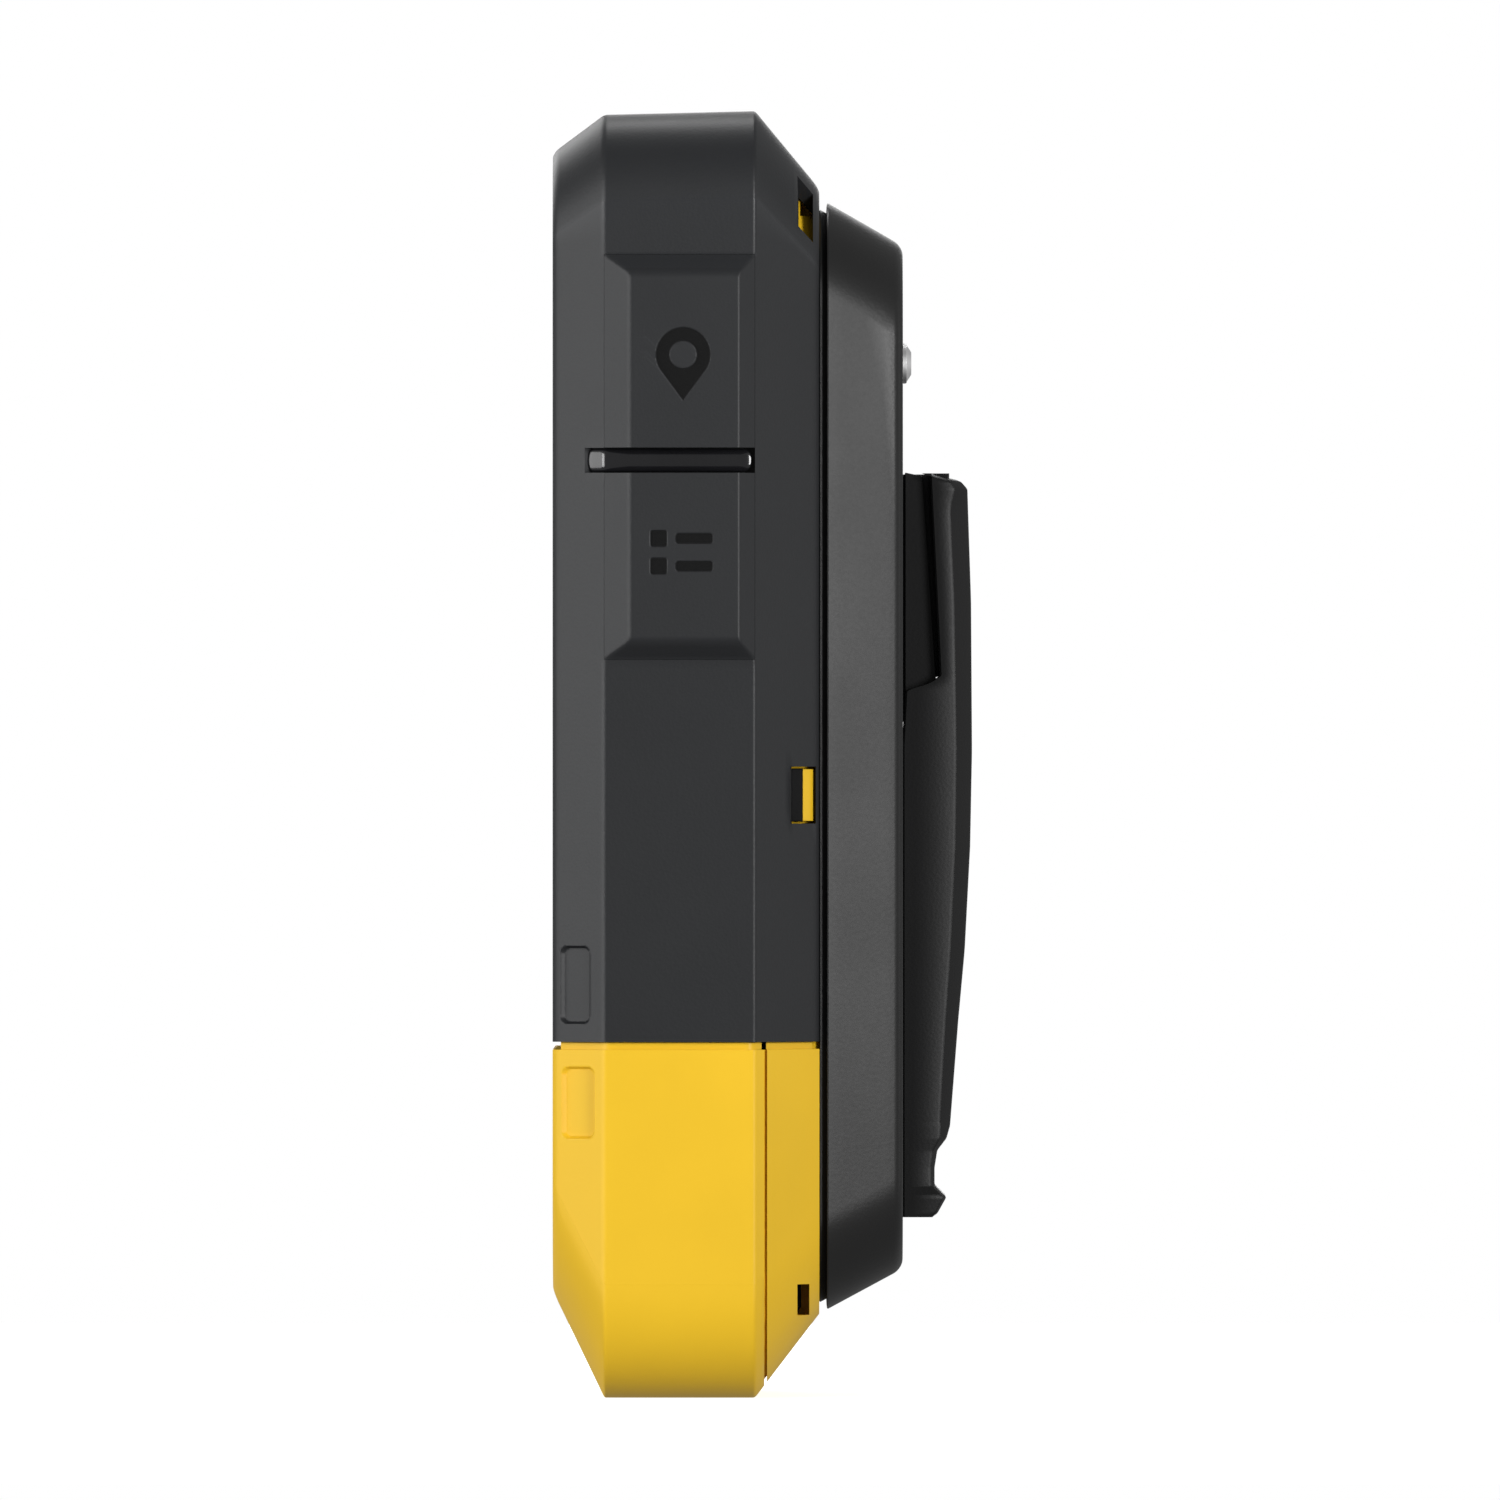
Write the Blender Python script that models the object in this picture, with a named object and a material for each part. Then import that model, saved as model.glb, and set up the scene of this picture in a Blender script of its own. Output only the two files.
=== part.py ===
"""Handheld GPS unit with a belt clip, modelled as the pieces it is assembled from.

The unit stands on its flat bottom. Its display faces -Y, its belt clip faces +Y, and its keyed side faces +X.
Depths are measured from the front face towards the back, widths from the middle and heights from the ground.
"""

import math

import bmesh
import bpy
from mathutils import Matrix, Vector

MM = 0.001
GAP = 0.3  # clearance between neighbouring pieces; every length below is in millimetres
DEPTH = 45.7  # from the display face to the back of the clip

# The body's form as lines through (depth, distance from the middle plane or from the ground).
SIDE = ((0, 31.0), (5.6, 35.0), (22.0, 35.0), (29.3, 26.3))
TOP = ((0, 135.5), (5.6, 139.6), (22.0, 140.0), (29.3, 131.3))
FLOOR = ((0, -11.5), (5.6, 0), (22.0, 0), (29.3, -9.4))
WIDEST = 35.0
TOP_RADIUS = 9.5
BOTTOM_RADIUS = 12.5
RADIUS_LOSS = 0.1  # how much a corner's radius shrinks for each millimetre that its section is narrower
LEAST_RADIUS = 1.2
ARC_STEPS = 6

# Casing
SLEEVE_WALL = 1.6
HOUSING_WALL = 2.0
UNDER_SLEEVE = SLEEVE_WALL + GAP
INSIDE_UPPER = UNDER_SLEEVE + HOUSING_WALL
SLEEVE_LOW = 38.8
STEP_HEIGHT = 38.0
CAVITY_STEP = 36.5
SEAM = 23.0
BACK_FACE = 29.0
BACK_WALL_FROM = BACK_FACE - HOUSING_WALL
BEYOND = 8.0  # how far a cutter runs past what it cuts
ACROSS = (-WIDEST - BEYOND, WIDEST + BEYOND)

# Openings and hooks of the casing, as (depths, heights)
SNAP_WINDOW = ((25.8, 28.6), (62.5, 68.7))
SNAP_HOOK = ((26.2, 28.3), (62.8, 68.4))
HOOK_INNER, HOOK_SUNK = 23.1, 0.7
SLEEVE_POCKET = ((1.1, 4.0), (40.9, 49.1))
HOUSING_POCKET = ((1.1, 4.8), (28.4, 36.0))
POCKET_DEEP = 0.5
LANYARD_SLOT = ((26.9, 28.4), (126.4, 131.5))
UPPER_SLOT = ((26.9, 28.1), (128.6, 132.0))
LOWER_SLOT = ((26.6, 27.9), (9.0, 12.4))
SLOT_INNER = 18.0
SPEAKER_HALF, SPEAKER_LOW, SPEAKER_PITCH, SPEAKER_SLOT, SPEAKER_SLOTS = 7.0, 15.0, 2.4, 1.0, 4

# Display
LENS_HALF, LENS_LOW, LENS_HIGH, LENS_CORNER = 28.7, 45.5, 130.5, 4.0
LENS_FRONT = 0.4
GASKET_FRONT, GASKET_BACK, GASKET_EDGE = 1.9, 2.5, 0.4
VIEW_HALF, VIEW_LOW, VIEW_HIGH = 27.0, 52.0, 124.0

# Raised pads on the two sides, whose sloping faces carry on the body's own bevels
PAD_RISE = 2.0
PAD_LOW, PAD_HIGH = 80.3, 124.3
PAD_FRONT, PAD_BACK = 5.6, 22.0
GROOVE_LOW, GROOVE_HIGH = 100.6, 103.3
GROOVE_INNER, GROOVE_FRONT = 30.5, 3.5
KEY_INNER = 33.0
LIP_INNER, LIP_OUTER = 32.3, 33.1
KEY_DEPTH_CENTRE = 14.2
KEY_TRAVEL_ROOM = 0.6
PLUNGER_RADIUS = 1.8
BUTTON_RADIUS, SWITCH_HALF = 1.4, 2.4
SWITCH_FACE = 31.0
KEY_BOARD_INNER, KEY_BOARD_OUTER = 27.6, 28.6

# Front keys
ZOOM_FRONT, ZOOM_LIP, ZOOM_BACK = 0.1, 2.3, 3.1
ZOOM_NEAR, ZOOM_FAR, ZOOM_LOW, ZOOM_HIGH = 4.0, 24.0, 27.0, 35.0

# Electronics
BOARD_FRONT, BOARD_BACK = 8.6, 9.8
CAN_BACK = 12.1

# Battery bay
TRAY_HALF, TRAY_LOW, TRAY_HIGH, TRAY_FRONT, TRAY_WALL = 22.6, 25.1, 84.9, 18.0, 0.8
CELL_RADIUS, CELL_PITCH, CELL_LOW, CELL_HIGH, CELL_DEPTH = 7.1, 14.4, 31.5, 81.0, 26.9

# Battery cover, as (depth, half width, low, high)
COVER_FRONT, COVER_BACK = 29.3, 38.1
COVER_BASE = (COVER_FRONT, 26.0, 9.9, 129.7)
COVER_RIM = (COVER_BACK, 23.2, 14.6, 124.8)
COVER_CORNER = 10.5
COVER_WALL = 1.8
COVER_EDGE = 0.6

# Lock
LOCK_HEIGHT = 112.8
LOCK_HEAD_RADIUS = 2.2
LOCK_SHANK_RADIUS = 1.5
LOCK_DOME_RADIUS = 1.3
RECEPTACLE_RADIUS, RECEPTACLE_BORE = 4.4, 3.1

# Case screws
SCREW_HALF, SCREW_LOW, SCREW_HIGH = 17.0, 18.0, 121.5
SCREW_RADIUS, SCREW_HEAD_RADIUS, BOSS_RADIUS = 1.0, 2.0, 3.0
SCREW_HEAD = (28.3, 28.95)

# Belt clip
CLIP_HALF = 12.0
CHEEK = 1.6
PIVOT_DEPTH, PIVOT_HEIGHT = 41.4, 75.2
PIN_RADIUS = 0.9
KNUCKLE_RADIUS = 1.9
CLIP_SCREW_HEIGHTS = (80.5, 92.5)

FINISHES = {
    # name: (red, green, blue, roughness, metallic)
    "sleeve_grey": (0.045, 0.047, 0.050, 0.60, 0.0),
    "housing_yellow": (0.84, 0.52, 0.05, 0.45, 0.0),
    "cover_grey": (0.10, 0.10, 0.10, 0.55, 0.0),
    "black_plastic": (0.012, 0.012, 0.013, 0.45, 0.0),
    "gloss_black": (0.010, 0.010, 0.012, 0.12, 0.0),
    "lens_glass": (0.02, 0.02, 0.025, 0.05, 0.0),
    "rubber": (0.03, 0.03, 0.03, 0.80, 0.0),
    "board_green": (0.02, 0.16, 0.07, 0.50, 0.0),
    "ceramic": (0.62, 0.55, 0.42, 0.55, 0.0),
    "bright_metal": (0.72, 0.72, 0.72, 0.28, 1.0),
    "spring_steel": (0.55, 0.55, 0.56, 0.32, 1.0),
    "brass": (0.75, 0.56, 0.24, 0.35, 1.0),
    "cell_wrap": (0.06, 0.16, 0.30, 0.35, 0.0),
}


def clear_scene():
    for obj in list(bpy.data.objects):
        bpy.data.objects.remove(obj, do_unlink=True)


def finish(name):
    """The Principled material of this name, made the first time it is asked for."""
    material = bpy.data.materials.get(name)
    if material:
        return material
    material = bpy.data.materials.new(name)
    material.use_nodes = True
    red, green, blue, roughness, metallic = FINISHES[name]
    shader = material.node_tree.nodes["Principled BSDF"]
    shader.inputs["Base Color"].default_value = (red, green, blue, 1)
    shader.inputs["Roughness"].default_value = roughness
    shader.inputs["Metallic"].default_value = metallic
    material.diffuse_color = (red, green, blue, 1)
    return material


def place(width, depth, height):
    """World position of a point given in millimetres from the middle plane, the front face and the ground."""
    return Vector((width, depth - DEPTH / 2, height)) * MM


# ---- building solids ----


def solid(name, mesh, material=None):
    """Puts a bmesh into the scene as an object. Without a material it is a hidden helper."""
    bmesh.ops.recalc_face_normals(mesh, faces=mesh.faces)
    data = bpy.data.meshes.new(name)
    mesh.to_mesh(data)
    mesh.free()
    obj = bpy.data.objects.new(name, data)
    bpy.context.collection.objects.link(obj)
    if material:
        data.materials.append(finish(material))
    else:
        obj.hide_render = True
        obj.display_type = "WIRE"
    return obj


def smooth(obj, angle=35):
    obj.data.shade_smooth()
    obj.data.set_sharp_from_angle(angle=math.radians(angle))
    return obj


def loft(name, rings, material=None):
    """Closed solid through rings of equally many points, each ring capped or joined to the next."""
    mesh = bmesh.new()
    made = [[mesh.verts.new(point) for point in ring] for ring in rings]
    for ring, following in zip(made, made[1:]):
        for i in range(len(ring)):
            j = (i + 1) % len(ring)
            mesh.faces.new((ring[i], ring[j], following[j], following[i]))
    mesh.faces.new(made[0])
    mesh.faces.new(made[-1])
    bmesh.ops.triangulate(mesh, faces=mesh.faces)
    return solid(name, mesh, material)


def convex(name, points, material=None):
    """Closed solid that wraps points given as (width, depth, height)."""
    mesh = bmesh.new()
    for point in points:
        mesh.verts.new(place(*point))
    bmesh.ops.convex_hull(mesh, input=mesh.verts)
    return solid(name, mesh, material)


def box(name, widths, depths, heights, material=None):
    corners = [(w, d, h) for w in widths for d in depths for h in heights]
    return convex(name, corners, material)


def rod(name, radius, start, end, material=None, sides=20, end_radius=None):
    """Cylinder or cone between two points given as (width, depth, height)."""
    first, last = place(*start), place(*end)
    along = last - first
    turn = Vector((0, 0, 1)).rotation_difference(along).to_matrix().to_4x4()
    mesh = bmesh.new()
    bmesh.ops.create_cone(
        mesh,
        cap_ends=True,
        segments=sides,
        radius1=radius * MM,
        radius2=(radius if end_radius is None else end_radius) * MM,
        depth=along.length,
        matrix=Matrix.Translation((first + last) / 2) @ turn,
    )
    return smooth(solid(name, mesh, material))


def post(name, radius, spot, depths, material=None, sides=16, end_radius=None):
    """Cylinder or cone along the depth at a (width, height), between two depths."""
    width, height = spot
    start, end = ((width, depth, height) for depth in depths)
    return rod(name, radius, start, end, material, sides, end_radius)


def prism(name, outline, half_width, material=None):
    """Solid with an outline in (depth, height), as wide to either side of the middle plane as half_width."""
    rings = [[place(side * half_width, depth, height) for depth, height in outline] for side in (-1, 1)]
    return loft(name, rings, material)


def boolean(obj, others, operation):
    for other in others:
        modifier = obj.modifiers.new(other.name, "BOOLEAN")
        modifier.operation = operation
        modifier.object = other


def cut(obj, *cutters):
    boolean(obj, cutters, "DIFFERENCE")


def join(obj, *others):
    boolean(obj, others, "UNION")


def rounded_outline(half_width, low, high, low_radius, high_radius):
    """Points (width, height) round an upright rectangle, with a quarter circle at each rounded corner."""
    corners = (
        (half_width - low_radius, low + low_radius, low_radius, -90),
        (half_width - high_radius, high - high_radius, high_radius, 0),
        (high_radius - half_width, high - high_radius, high_radius, 90),
        (low_radius - half_width, low + low_radius, low_radius, 180),
    )
    points = []
    for centre_width, centre_height, radius, start in corners:
        steps = ARC_STEPS if radius else 0
        for step in range(steps + 1):
            angle = math.radians(start + (90 * step / steps if steps else 0))
            points.append((centre_width + radius * math.cos(angle), centre_height + radius * math.sin(angle)))
    return points


# ---- the body's form ----


def lines_of(profile):
    """(slope, value at depth 0) of each straight stretch of a profile."""
    found = []
    for (start, first), (end, last) in zip(profile, profile[1:]):
        slope = (last - first) / (end - start)
        found.append((slope, first - slope * start))
    return found


def reach(profile, depth, inset=0.0):
    """How far the form reaches at a depth, once every face has moved in by inset."""
    return min(slope * depth + base - inset * math.hypot(1, slope) for slope, base in lines_of(profile))


def edges_of(profile, inset):
    """Depths where two neighbouring faces of the inset form meet."""
    moved = [(slope, base - inset * math.hypot(1, slope)) for slope, base in lines_of(profile)]
    found = []
    for (slope, base), (next_slope, next_base) in zip(moved, moved[1:]):
        found.append((next_base - base) / (slope - next_slope))
    return found


def body_form(name, inset, front, back, low=None, high=None, material=None):
    """Solid with the body's outer form, its faces moved in by inset, between two depths and two heights."""
    depths = {front, back}
    for profile in (SIDE, TOP, FLOOR):
        depths.update(depth for depth in edges_of(profile, inset) if front < depth < back)
    rings = []
    for depth in sorted(depths):
        half = reach(SIDE, depth, inset)
        shrink = RADIUS_LOSS * (WIDEST - reach(SIDE, depth)) + inset
        outline = rounded_outline(
            half,
            -reach(FLOOR, depth, inset) if low is None else low,
            reach(TOP, depth, inset) if high is None else high,
            max(BOTTOM_RADIUS - shrink, LEAST_RADIUS) if low is None else 0,
            max(TOP_RADIUS - shrink, LEAST_RADIUS) if high is None else 0,
        )
        rings.append([place(width, depth, height) for width, height in outline])
    return loft(name, rings, material)


def flat_form(name, half_width, low, high, radius, front, back, material=None):
    """Upright rounded plate between two depths."""
    outline = rounded_outline(half_width, low, high, radius, radius)
    rings = [[place(width, depth, height) for width, height in outline] for depth in (front, back)]
    return loft(name, rings, material)


# ---- casing ----


def bevel_pocket(name, side, depths, heights):
    """Cutter for a shallow pocket in the front bevel, from its floor to a millimetre outside the bevel."""
    slope = lines_of(SIDE)[0][0]
    across, back = 1 / math.hypot(1, slope), slope / math.hypot(1, slope)
    points = []
    for depth in depths:
        for height in heights:
            surface = reach(SIDE, depth)
            points.append((side * (surface - POCKET_DEEP * across), depth + POCKET_DEEP * back, height))
            points.append((side * (surface + across), depth - back, height))
    return convex(name, points)


def sleeve_cutters():
    """Openings of the sleeve: display window, pads, key groove, snap windows and lanyard slots."""
    yield flat_form(
        "lens_window", LENS_HALF + GAP, LENS_LOW - GAP, LENS_HIGH + GAP, LENS_CORNER + GAP, -1, SLEEVE_WALL + 1
    )
    yield box("groove_slot", (GROOVE_INNER, ACROSS[1]), (GROOVE_FRONT, PAD_FRONT + 1), (GROOVE_LOW, GROOVE_HIGH))
    yield box("snap_windows", ACROSS, *SNAP_WINDOW)
    for side, name in ((1, "right"), (-1, "left")):
        outside = side * ACROSS[1]
        yield box(f"{name}_pad_window", (side * LIP_INNER, outside), (PAD_FRONT, PAD_BACK), (PAD_LOW, PAD_HIGH))
        yield box(f"{name}_lanyard_slot", (side * SLOT_INNER, outside), *LANYARD_SLOT)
        yield bevel_pocket(f"{name}_sleeve_pocket", side, *SLEEVE_POCKET)


def make_sleeve():
    sleeve = body_form("armour_sleeve", 0, 0, BACK_FACE, low=SLEEVE_LOW, material="sleeve_grey")
    hollow = body_form("sleeve_hollow", SLEEVE_WALL, SLEEVE_WALL, BACK_FACE + 1, low=SLEEVE_LOW - 1)
    cut(sleeve, hollow, *sleeve_cutters())


def cavity(name, front, back):
    """Cutters for the inside of a housing half: narrower under the sleeve than below it."""
    upper = body_form(f"{name}_upper_cavity", INSIDE_UPPER, max(front, INSIDE_UPPER), back, low=CAVITY_STEP - 1)
    lower = body_form(f"{name}_lower_cavity", HOUSING_WALL, max(front, HOUSING_WALL), back, high=CAVITY_STEP)
    return upper, lower


def zoom_key_box(name, side, front, back, grow=0.0, material=None):
    widths = (side * (ZOOM_NEAR - grow), side * (ZOOM_FAR + grow))
    return box(name, widths, (front, back), (ZOOM_LOW - grow, ZOOM_HIGH + grow), material)


def make_front_housing():
    housing = body_form("front_housing", 0, 0, SEAM, high=STEP_HEIGHT, material="housing_yellow")
    join(housing, body_form("front_upper", UNDER_SLEEVE, UNDER_SLEEVE, SEAM, low=CAVITY_STEP - 2))
    cut(housing, *cavity("front", 0, SEAM + 2))
    cut(housing, box("view_window", (-VIEW_HALF, VIEW_HALF), (0, 6), (VIEW_LOW, VIEW_HIGH)))
    gasket_room = GASKET_BACK + GAP
    cut(housing, flat_form("gasket_pocket", LENS_HALF, LENS_LOW, LENS_HIGH, LENS_CORNER, 0, gasket_room))
    key_room = (PAD_LOW - 1.8, PAD_HIGH + 1.8)
    cut(housing, box("key_openings", ACROSS, (PAD_FRONT, PAD_BACK), key_room))
    for side, name in ((1, "right"), (-1, "left")):
        cut(housing, zoom_key_box(f"{name}_zoom_window", side, -1, HOUSING_WALL + 2, grow=GAP))
        cut(housing, bevel_pocket(f"{name}_housing_pocket", side, *HOUSING_POCKET))
    for row in range(SPEAKER_SLOTS):
        height = SPEAKER_LOW + SPEAKER_PITCH * row
        heights = (height, height + SPEAKER_SLOT)
        cut(housing, box(f"speaker_slot_{row + 1}", (-SPEAKER_HALF, SPEAKER_HALF), (-1, HOUSING_WALL + 1), heights))


def make_rear_housing():
    front = SEAM + GAP
    housing = body_form("rear_housing", 0, front, BACK_FACE, high=STEP_HEIGHT, material="housing_yellow")
    join(housing, body_form("rear_upper", UNDER_SLEEVE, front, BACK_FACE, low=CAVITY_STEP - 2))
    cut(housing, *cavity("rear", front - 1, BACK_WALL_FROM))
    tray_room = ((-TRAY_HALF - GAP, TRAY_HALF + GAP), (TRAY_FRONT + 2, BACK_FACE + 2), (TRAY_LOW - GAP, TRAY_HIGH + GAP))
    cut(housing, box("bay_opening", *tray_room))
    cut(housing, post("receptacle_hole", RECEPTACLE_RADIUS + GAP, (0, LOCK_HEIGHT), (25.0, 31.0)))
    for side, name in ((1, "right"), (-1, "left")):
        join(housing, snap_hook(f"{name}_snap_hook", side))
        cut(housing, box(f"{name}_upper_slot", (side * SLOT_INNER, side * ACROSS[1]), *UPPER_SLOT))
        cut(housing, box(f"{name}_lower_slot", (side * (SLOT_INNER - 1), side * ACROSS[1]), *LOWER_SLOT))
    for number, spot in enumerate(screw_places(), 1):
        join(housing, post(f"rear_boss_{number}", BOSS_RADIUS, spot, (front + GAP, 28.0)))
        cut(housing, post(f"screw_hole_{number}", SCREW_RADIUS + GAP, spot, (front - 1, 30.0)))
        cut(housing, post(f"counterbore_{number}", SCREW_HEAD_RADIUS + GAP, spot, (28.0, 30.0), sides=20))


def snap_hook(name, side):
    """Wedge on the rear housing that fills the sleeve's snap window, a little below the surface."""
    depths, heights = SNAP_HOOK
    points = [(side * HOOK_INNER, depth, height) for depth in depths for height in heights]
    for depth in (depths[0] + 1, depths[1]):
        points += [(side * (reach(SIDE, depth) - HOOK_SUNK), depth, height) for height in heights]
    return convex(name, points)


def screw_places():
    return [(side * SCREW_HALF, height) for height in (SCREW_LOW, SCREW_HIGH) for side in (-1, 1)]


def make_case_screws():
    for number, spot in enumerate(screw_places(), 1):
        screw = post(f"case_screw_{number}", SCREW_HEAD_RADIUS, spot, SCREW_HEAD, "bright_metal")
        join(screw, post(f"case_shank_{number}", SCREW_RADIUS, spot, (18.0, 28.5)))


def make_housing_seal():
    seal = body_form("housing_seal", INSIDE_UPPER + GAP, 22.2, 24.0, material="rubber")
    cut(seal, body_form("seal_hollow", INSIDE_UPPER + 1.5, 21, 25))


# ---- display ----


def make_display():
    glass = (LENS_HALF, LENS_LOW, LENS_HIGH, LENS_CORNER)
    flat_form("display_lens", *glass, LENS_FRONT, SLEEVE_WALL, "lens_glass")
    edge = GASKET_EDGE
    rim = (LENS_HALF - edge, LENS_LOW + edge, LENS_HIGH - edge, LENS_CORNER - edge)
    gasket = flat_form("lens_gasket", *rim, GASKET_FRONT, GASKET_BACK, "rubber")
    cut(gasket, box("gasket_window", (-VIEW_HALF, VIEW_HALF), (1, 4), (VIEW_LOW, VIEW_HIGH)))
    box("lcd_panel", (-28.4, 28.4), (4.2, 6.4), (49.5, 127.0), "gloss_black")
    frame = box("display_frame", (-29.5, 29.5), (6.7, 7.7), (47.5, 129.0), "bright_metal")
    cut(frame, box("frame_window", (-20, 20), (6, 9), (60, 116)))


# ---- keys ----


def pad_cap(name, side, low, high, low_slopes, high_slopes, material=None):
    """Raised cap with the body's bevel slopes, and a slope at its lower or upper end where the pad ends there."""
    front, back = PAD_FRONT + GAP, PAD_BACK - GAP
    top = WIDEST + PAD_RISE
    front_slope, back_slope = lines_of(SIDE)[0], lines_of(SIDE)[2]
    top_front = (top - front_slope[1]) / front_slope[0]
    top_back = (top - back_slope[1]) / back_slope[0]
    points = [(side * KEY_INNER, depth, height) for depth in (front, back) for height in (low, high)]
    for height, slopes, inwards in ((low, low_slopes, 1), (high, high_slopes, -1)):
        shoulder = WIDEST + GAP
        points.append((side * (front_slope[0] * front + front_slope[1]), front, height))
        points.append((side * (shoulder if slopes else back_slope[0] * back + back_slope[1]), back, height))
        rim = height + inwards * (PAD_RISE - GAP if slopes else 0)
        points.append((side * top, top_front, rim))
        points.append((side * top, top_back, rim))
    return convex(name, points, material)


def make_side_key(name, side, low, high, low_slopes, high_slopes, lip_heights):
    """Moulded key: cap, retaining lip under the sleeve and plunger over its switch."""
    middle = (low + high) / 2
    key = pad_cap(name, side, low, high, low_slopes, high_slopes, "sleeve_grey")
    join(
        key,
        box(f"{name}_lip", (side * LIP_INNER, side * LIP_OUTER), (7, 19.5), lip_heights),
        rod(
            f"{name}_plunger",
            PLUNGER_RADIUS,
            (side * (SWITCH_FACE + KEY_TRAVEL_ROOM), KEY_DEPTH_CENTRE, middle),
            (side * (LIP_INNER + 0.4), KEY_DEPTH_CENTRE, middle),
        ),
    )
    set_origin(key, place(side * WIDEST, KEY_DEPTH_CENTRE, middle))
    make_side_switch(name.replace("key", "switch"), side, middle)


def make_side_switch(name, side, height):
    base = KEY_BOARD_OUTER + GAP
    switch = box(
        name,
        (side * base, side * (base + 1.3)),
        (KEY_DEPTH_CENTRE - SWITCH_HALF, KEY_DEPTH_CENTRE + SWITCH_HALF),
        (height - SWITCH_HALF, height + SWITCH_HALF),
        "bright_metal",
    )
    button = rod(
        f"{name}_button",
        BUTTON_RADIUS,
        (side * (base + 1.0), KEY_DEPTH_CENTRE, height),
        (side * SWITCH_FACE, KEY_DEPTH_CENTRE, height),
    )
    join(switch, button)


def set_origin(obj, point):
    """Moves an object's origin to a point without moving its shape."""
    obj.data.transform(Matrix.Translation(-point))
    obj.location = point


def make_side_keys():
    low, high = PAD_LOW + GAP, PAD_HIGH - GAP
    make_side_key("menu_key", 1, low, GROOVE_LOW, True, False, (low - 1.2, GROOVE_LOW - 1))
    make_side_key("waypoint_key", 1, GROOVE_HIGH, high, False, True, (GROOVE_HIGH + 1, high + 1.2))
    make_side_key("power_key", -1, GROOVE_HIGH, high, False, True, (GROOVE_HIGH + 1, high + 1.2))
    for name, side, heights in (("right_key_board", 1, (82, 121)), ("left_key_board", -1, (104, 121))):
        box(name, (side * KEY_BOARD_INNER, side * KEY_BOARD_OUTER), (10.8, 20.2), heights, "board_green")


def make_key_divider():
    """Glossy bar in the groove, a little below the body's own surface."""
    low, high = GROOVE_LOW + GAP, GROOVE_HIGH - GAP
    sunk = 0.35
    outline = (
        (3.8, reach(SIDE, 3.8) - sunk),
        (5.6, WIDEST - sunk),
        (21.2, WIDEST - sunk),
        (21.2, KEY_INNER),
        (5.9, KEY_INNER),
        (3.8, 32.0),
    )
    rings = [[place(width, depth, height) for depth, width in outline] for height in (low, high)]
    return loft("key_divider", rings, "gloss_black")


def make_port_cover():
    """Flap over the charging socket: the lower half of the left pad, with a plug on its inner face."""
    low, high = PAD_LOW + GAP, GROOVE_HIGH - GAP
    flap = pad_cap("port_cover", -1, low, high, True, False, "rubber")
    join(flap, box("port_plug", (-KEY_INNER - 0.2, -31.4), (8.5, 15.5), (86.0, 96.2)))
    set_origin(flap, place(-35.4, PAD_BACK - GAP + 0.1, (low + high) / 2))


def make_zoom_keys():
    for side, name in ((-1, "zoom_out"), (1, "zoom_in")):
        middle = side * (ZOOM_NEAR + ZOOM_FAR) / 2
        height = (ZOOM_LOW + ZOOM_HIGH) / 2
        key = zoom_key_box(f"{name}_key", side, ZOOM_FRONT, ZOOM_LIP + GAP, material="sleeve_grey")
        join(
            key,
            zoom_key_box(f"{name}_lip", side, ZOOM_LIP, ZOOM_BACK, grow=0.8),
            post(f"{name}_plunger", PLUNGER_RADIUS, (middle, height), (ZOOM_BACK - 0.1, 6.0), sides=20),
        )
        set_origin(key, place(middle, ZOOM_FRONT, height))
        around = (middle - SWITCH_HALF, middle + SWITCH_HALF)
        heights = (height - SWITCH_HALF, height + SWITCH_HALF)
        switch = box(f"{name}_switch", around, (7.2, BOARD_FRONT - GAP), heights, "bright_metal")
        join(switch, post(f"{name}_button", BUTTON_RADIUS, (middle, height), (6.6, 7.5), sides=20))


# ---- electronics ----


def make_electronics():
    box("main_board", (-30.2, 30.2), (BOARD_FRONT, BOARD_BACK), (17.0, 127.4), "board_green")
    behind = BOARD_BACK + GAP
    box("processor_can", (-22, 2), (behind, CAN_BACK), (62, 86), "bright_metal")
    box("radio_can", (6, 24), (behind, CAN_BACK), (68, 86), "bright_metal")
    box("gps_antenna", (-12.5, 12.5), (behind, 14.1), (101, 126), "ceramic")
    post("speaker", 6.6, (0, 18.8), (2.5, 6.0), "black_plastic", 24)
    socket = box("usb_socket", (-30.7, -23.2), (behind, 13.4), (86.6, 95.6), "bright_metal")
    cut(socket, box("socket_mouth", (-32, -25), (10.8, 12.7), (87.3, 94.9)))


def make_mid_frame():
    """Inner plate with posts that the rear housing is screwed to."""
    frame = box("mid_frame", (-26.5, 26.5), (15.4, 16.6), (13.0, 127.5), "black_plastic")
    cut(frame, box("frame_opening", (-14, 14), (14, 18), (92, 110)))
    for number, spot in enumerate(screw_places(), 1):
        join(frame, post(f"frame_post_{number}", BOSS_RADIUS, spot, (16.0, 23.2)))
        cut(frame, post(f"post_hole_{number}", SCREW_RADIUS + GAP, spot, (17.4, 24.0)))


# ---- battery bay ----


def make_tray():
    tray = box("battery_tray", (-TRAY_HALF, TRAY_HALF), (TRAY_FRONT, 28.7), (TRAY_LOW, TRAY_HIGH), "black_plastic")
    inner = TRAY_HALF - TRAY_WALL
    heights = (TRAY_LOW + TRAY_WALL, TRAY_HIGH - TRAY_WALL)
    cut(tray, box("tray_hollow", (-inner, inner), (TRAY_FRONT + 1.5, 30), heights))
    box("cell_contact_plate", (-21.4, 21.4), (20.2, 28.0), (82.8, 83.7), "bright_metal")


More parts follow.
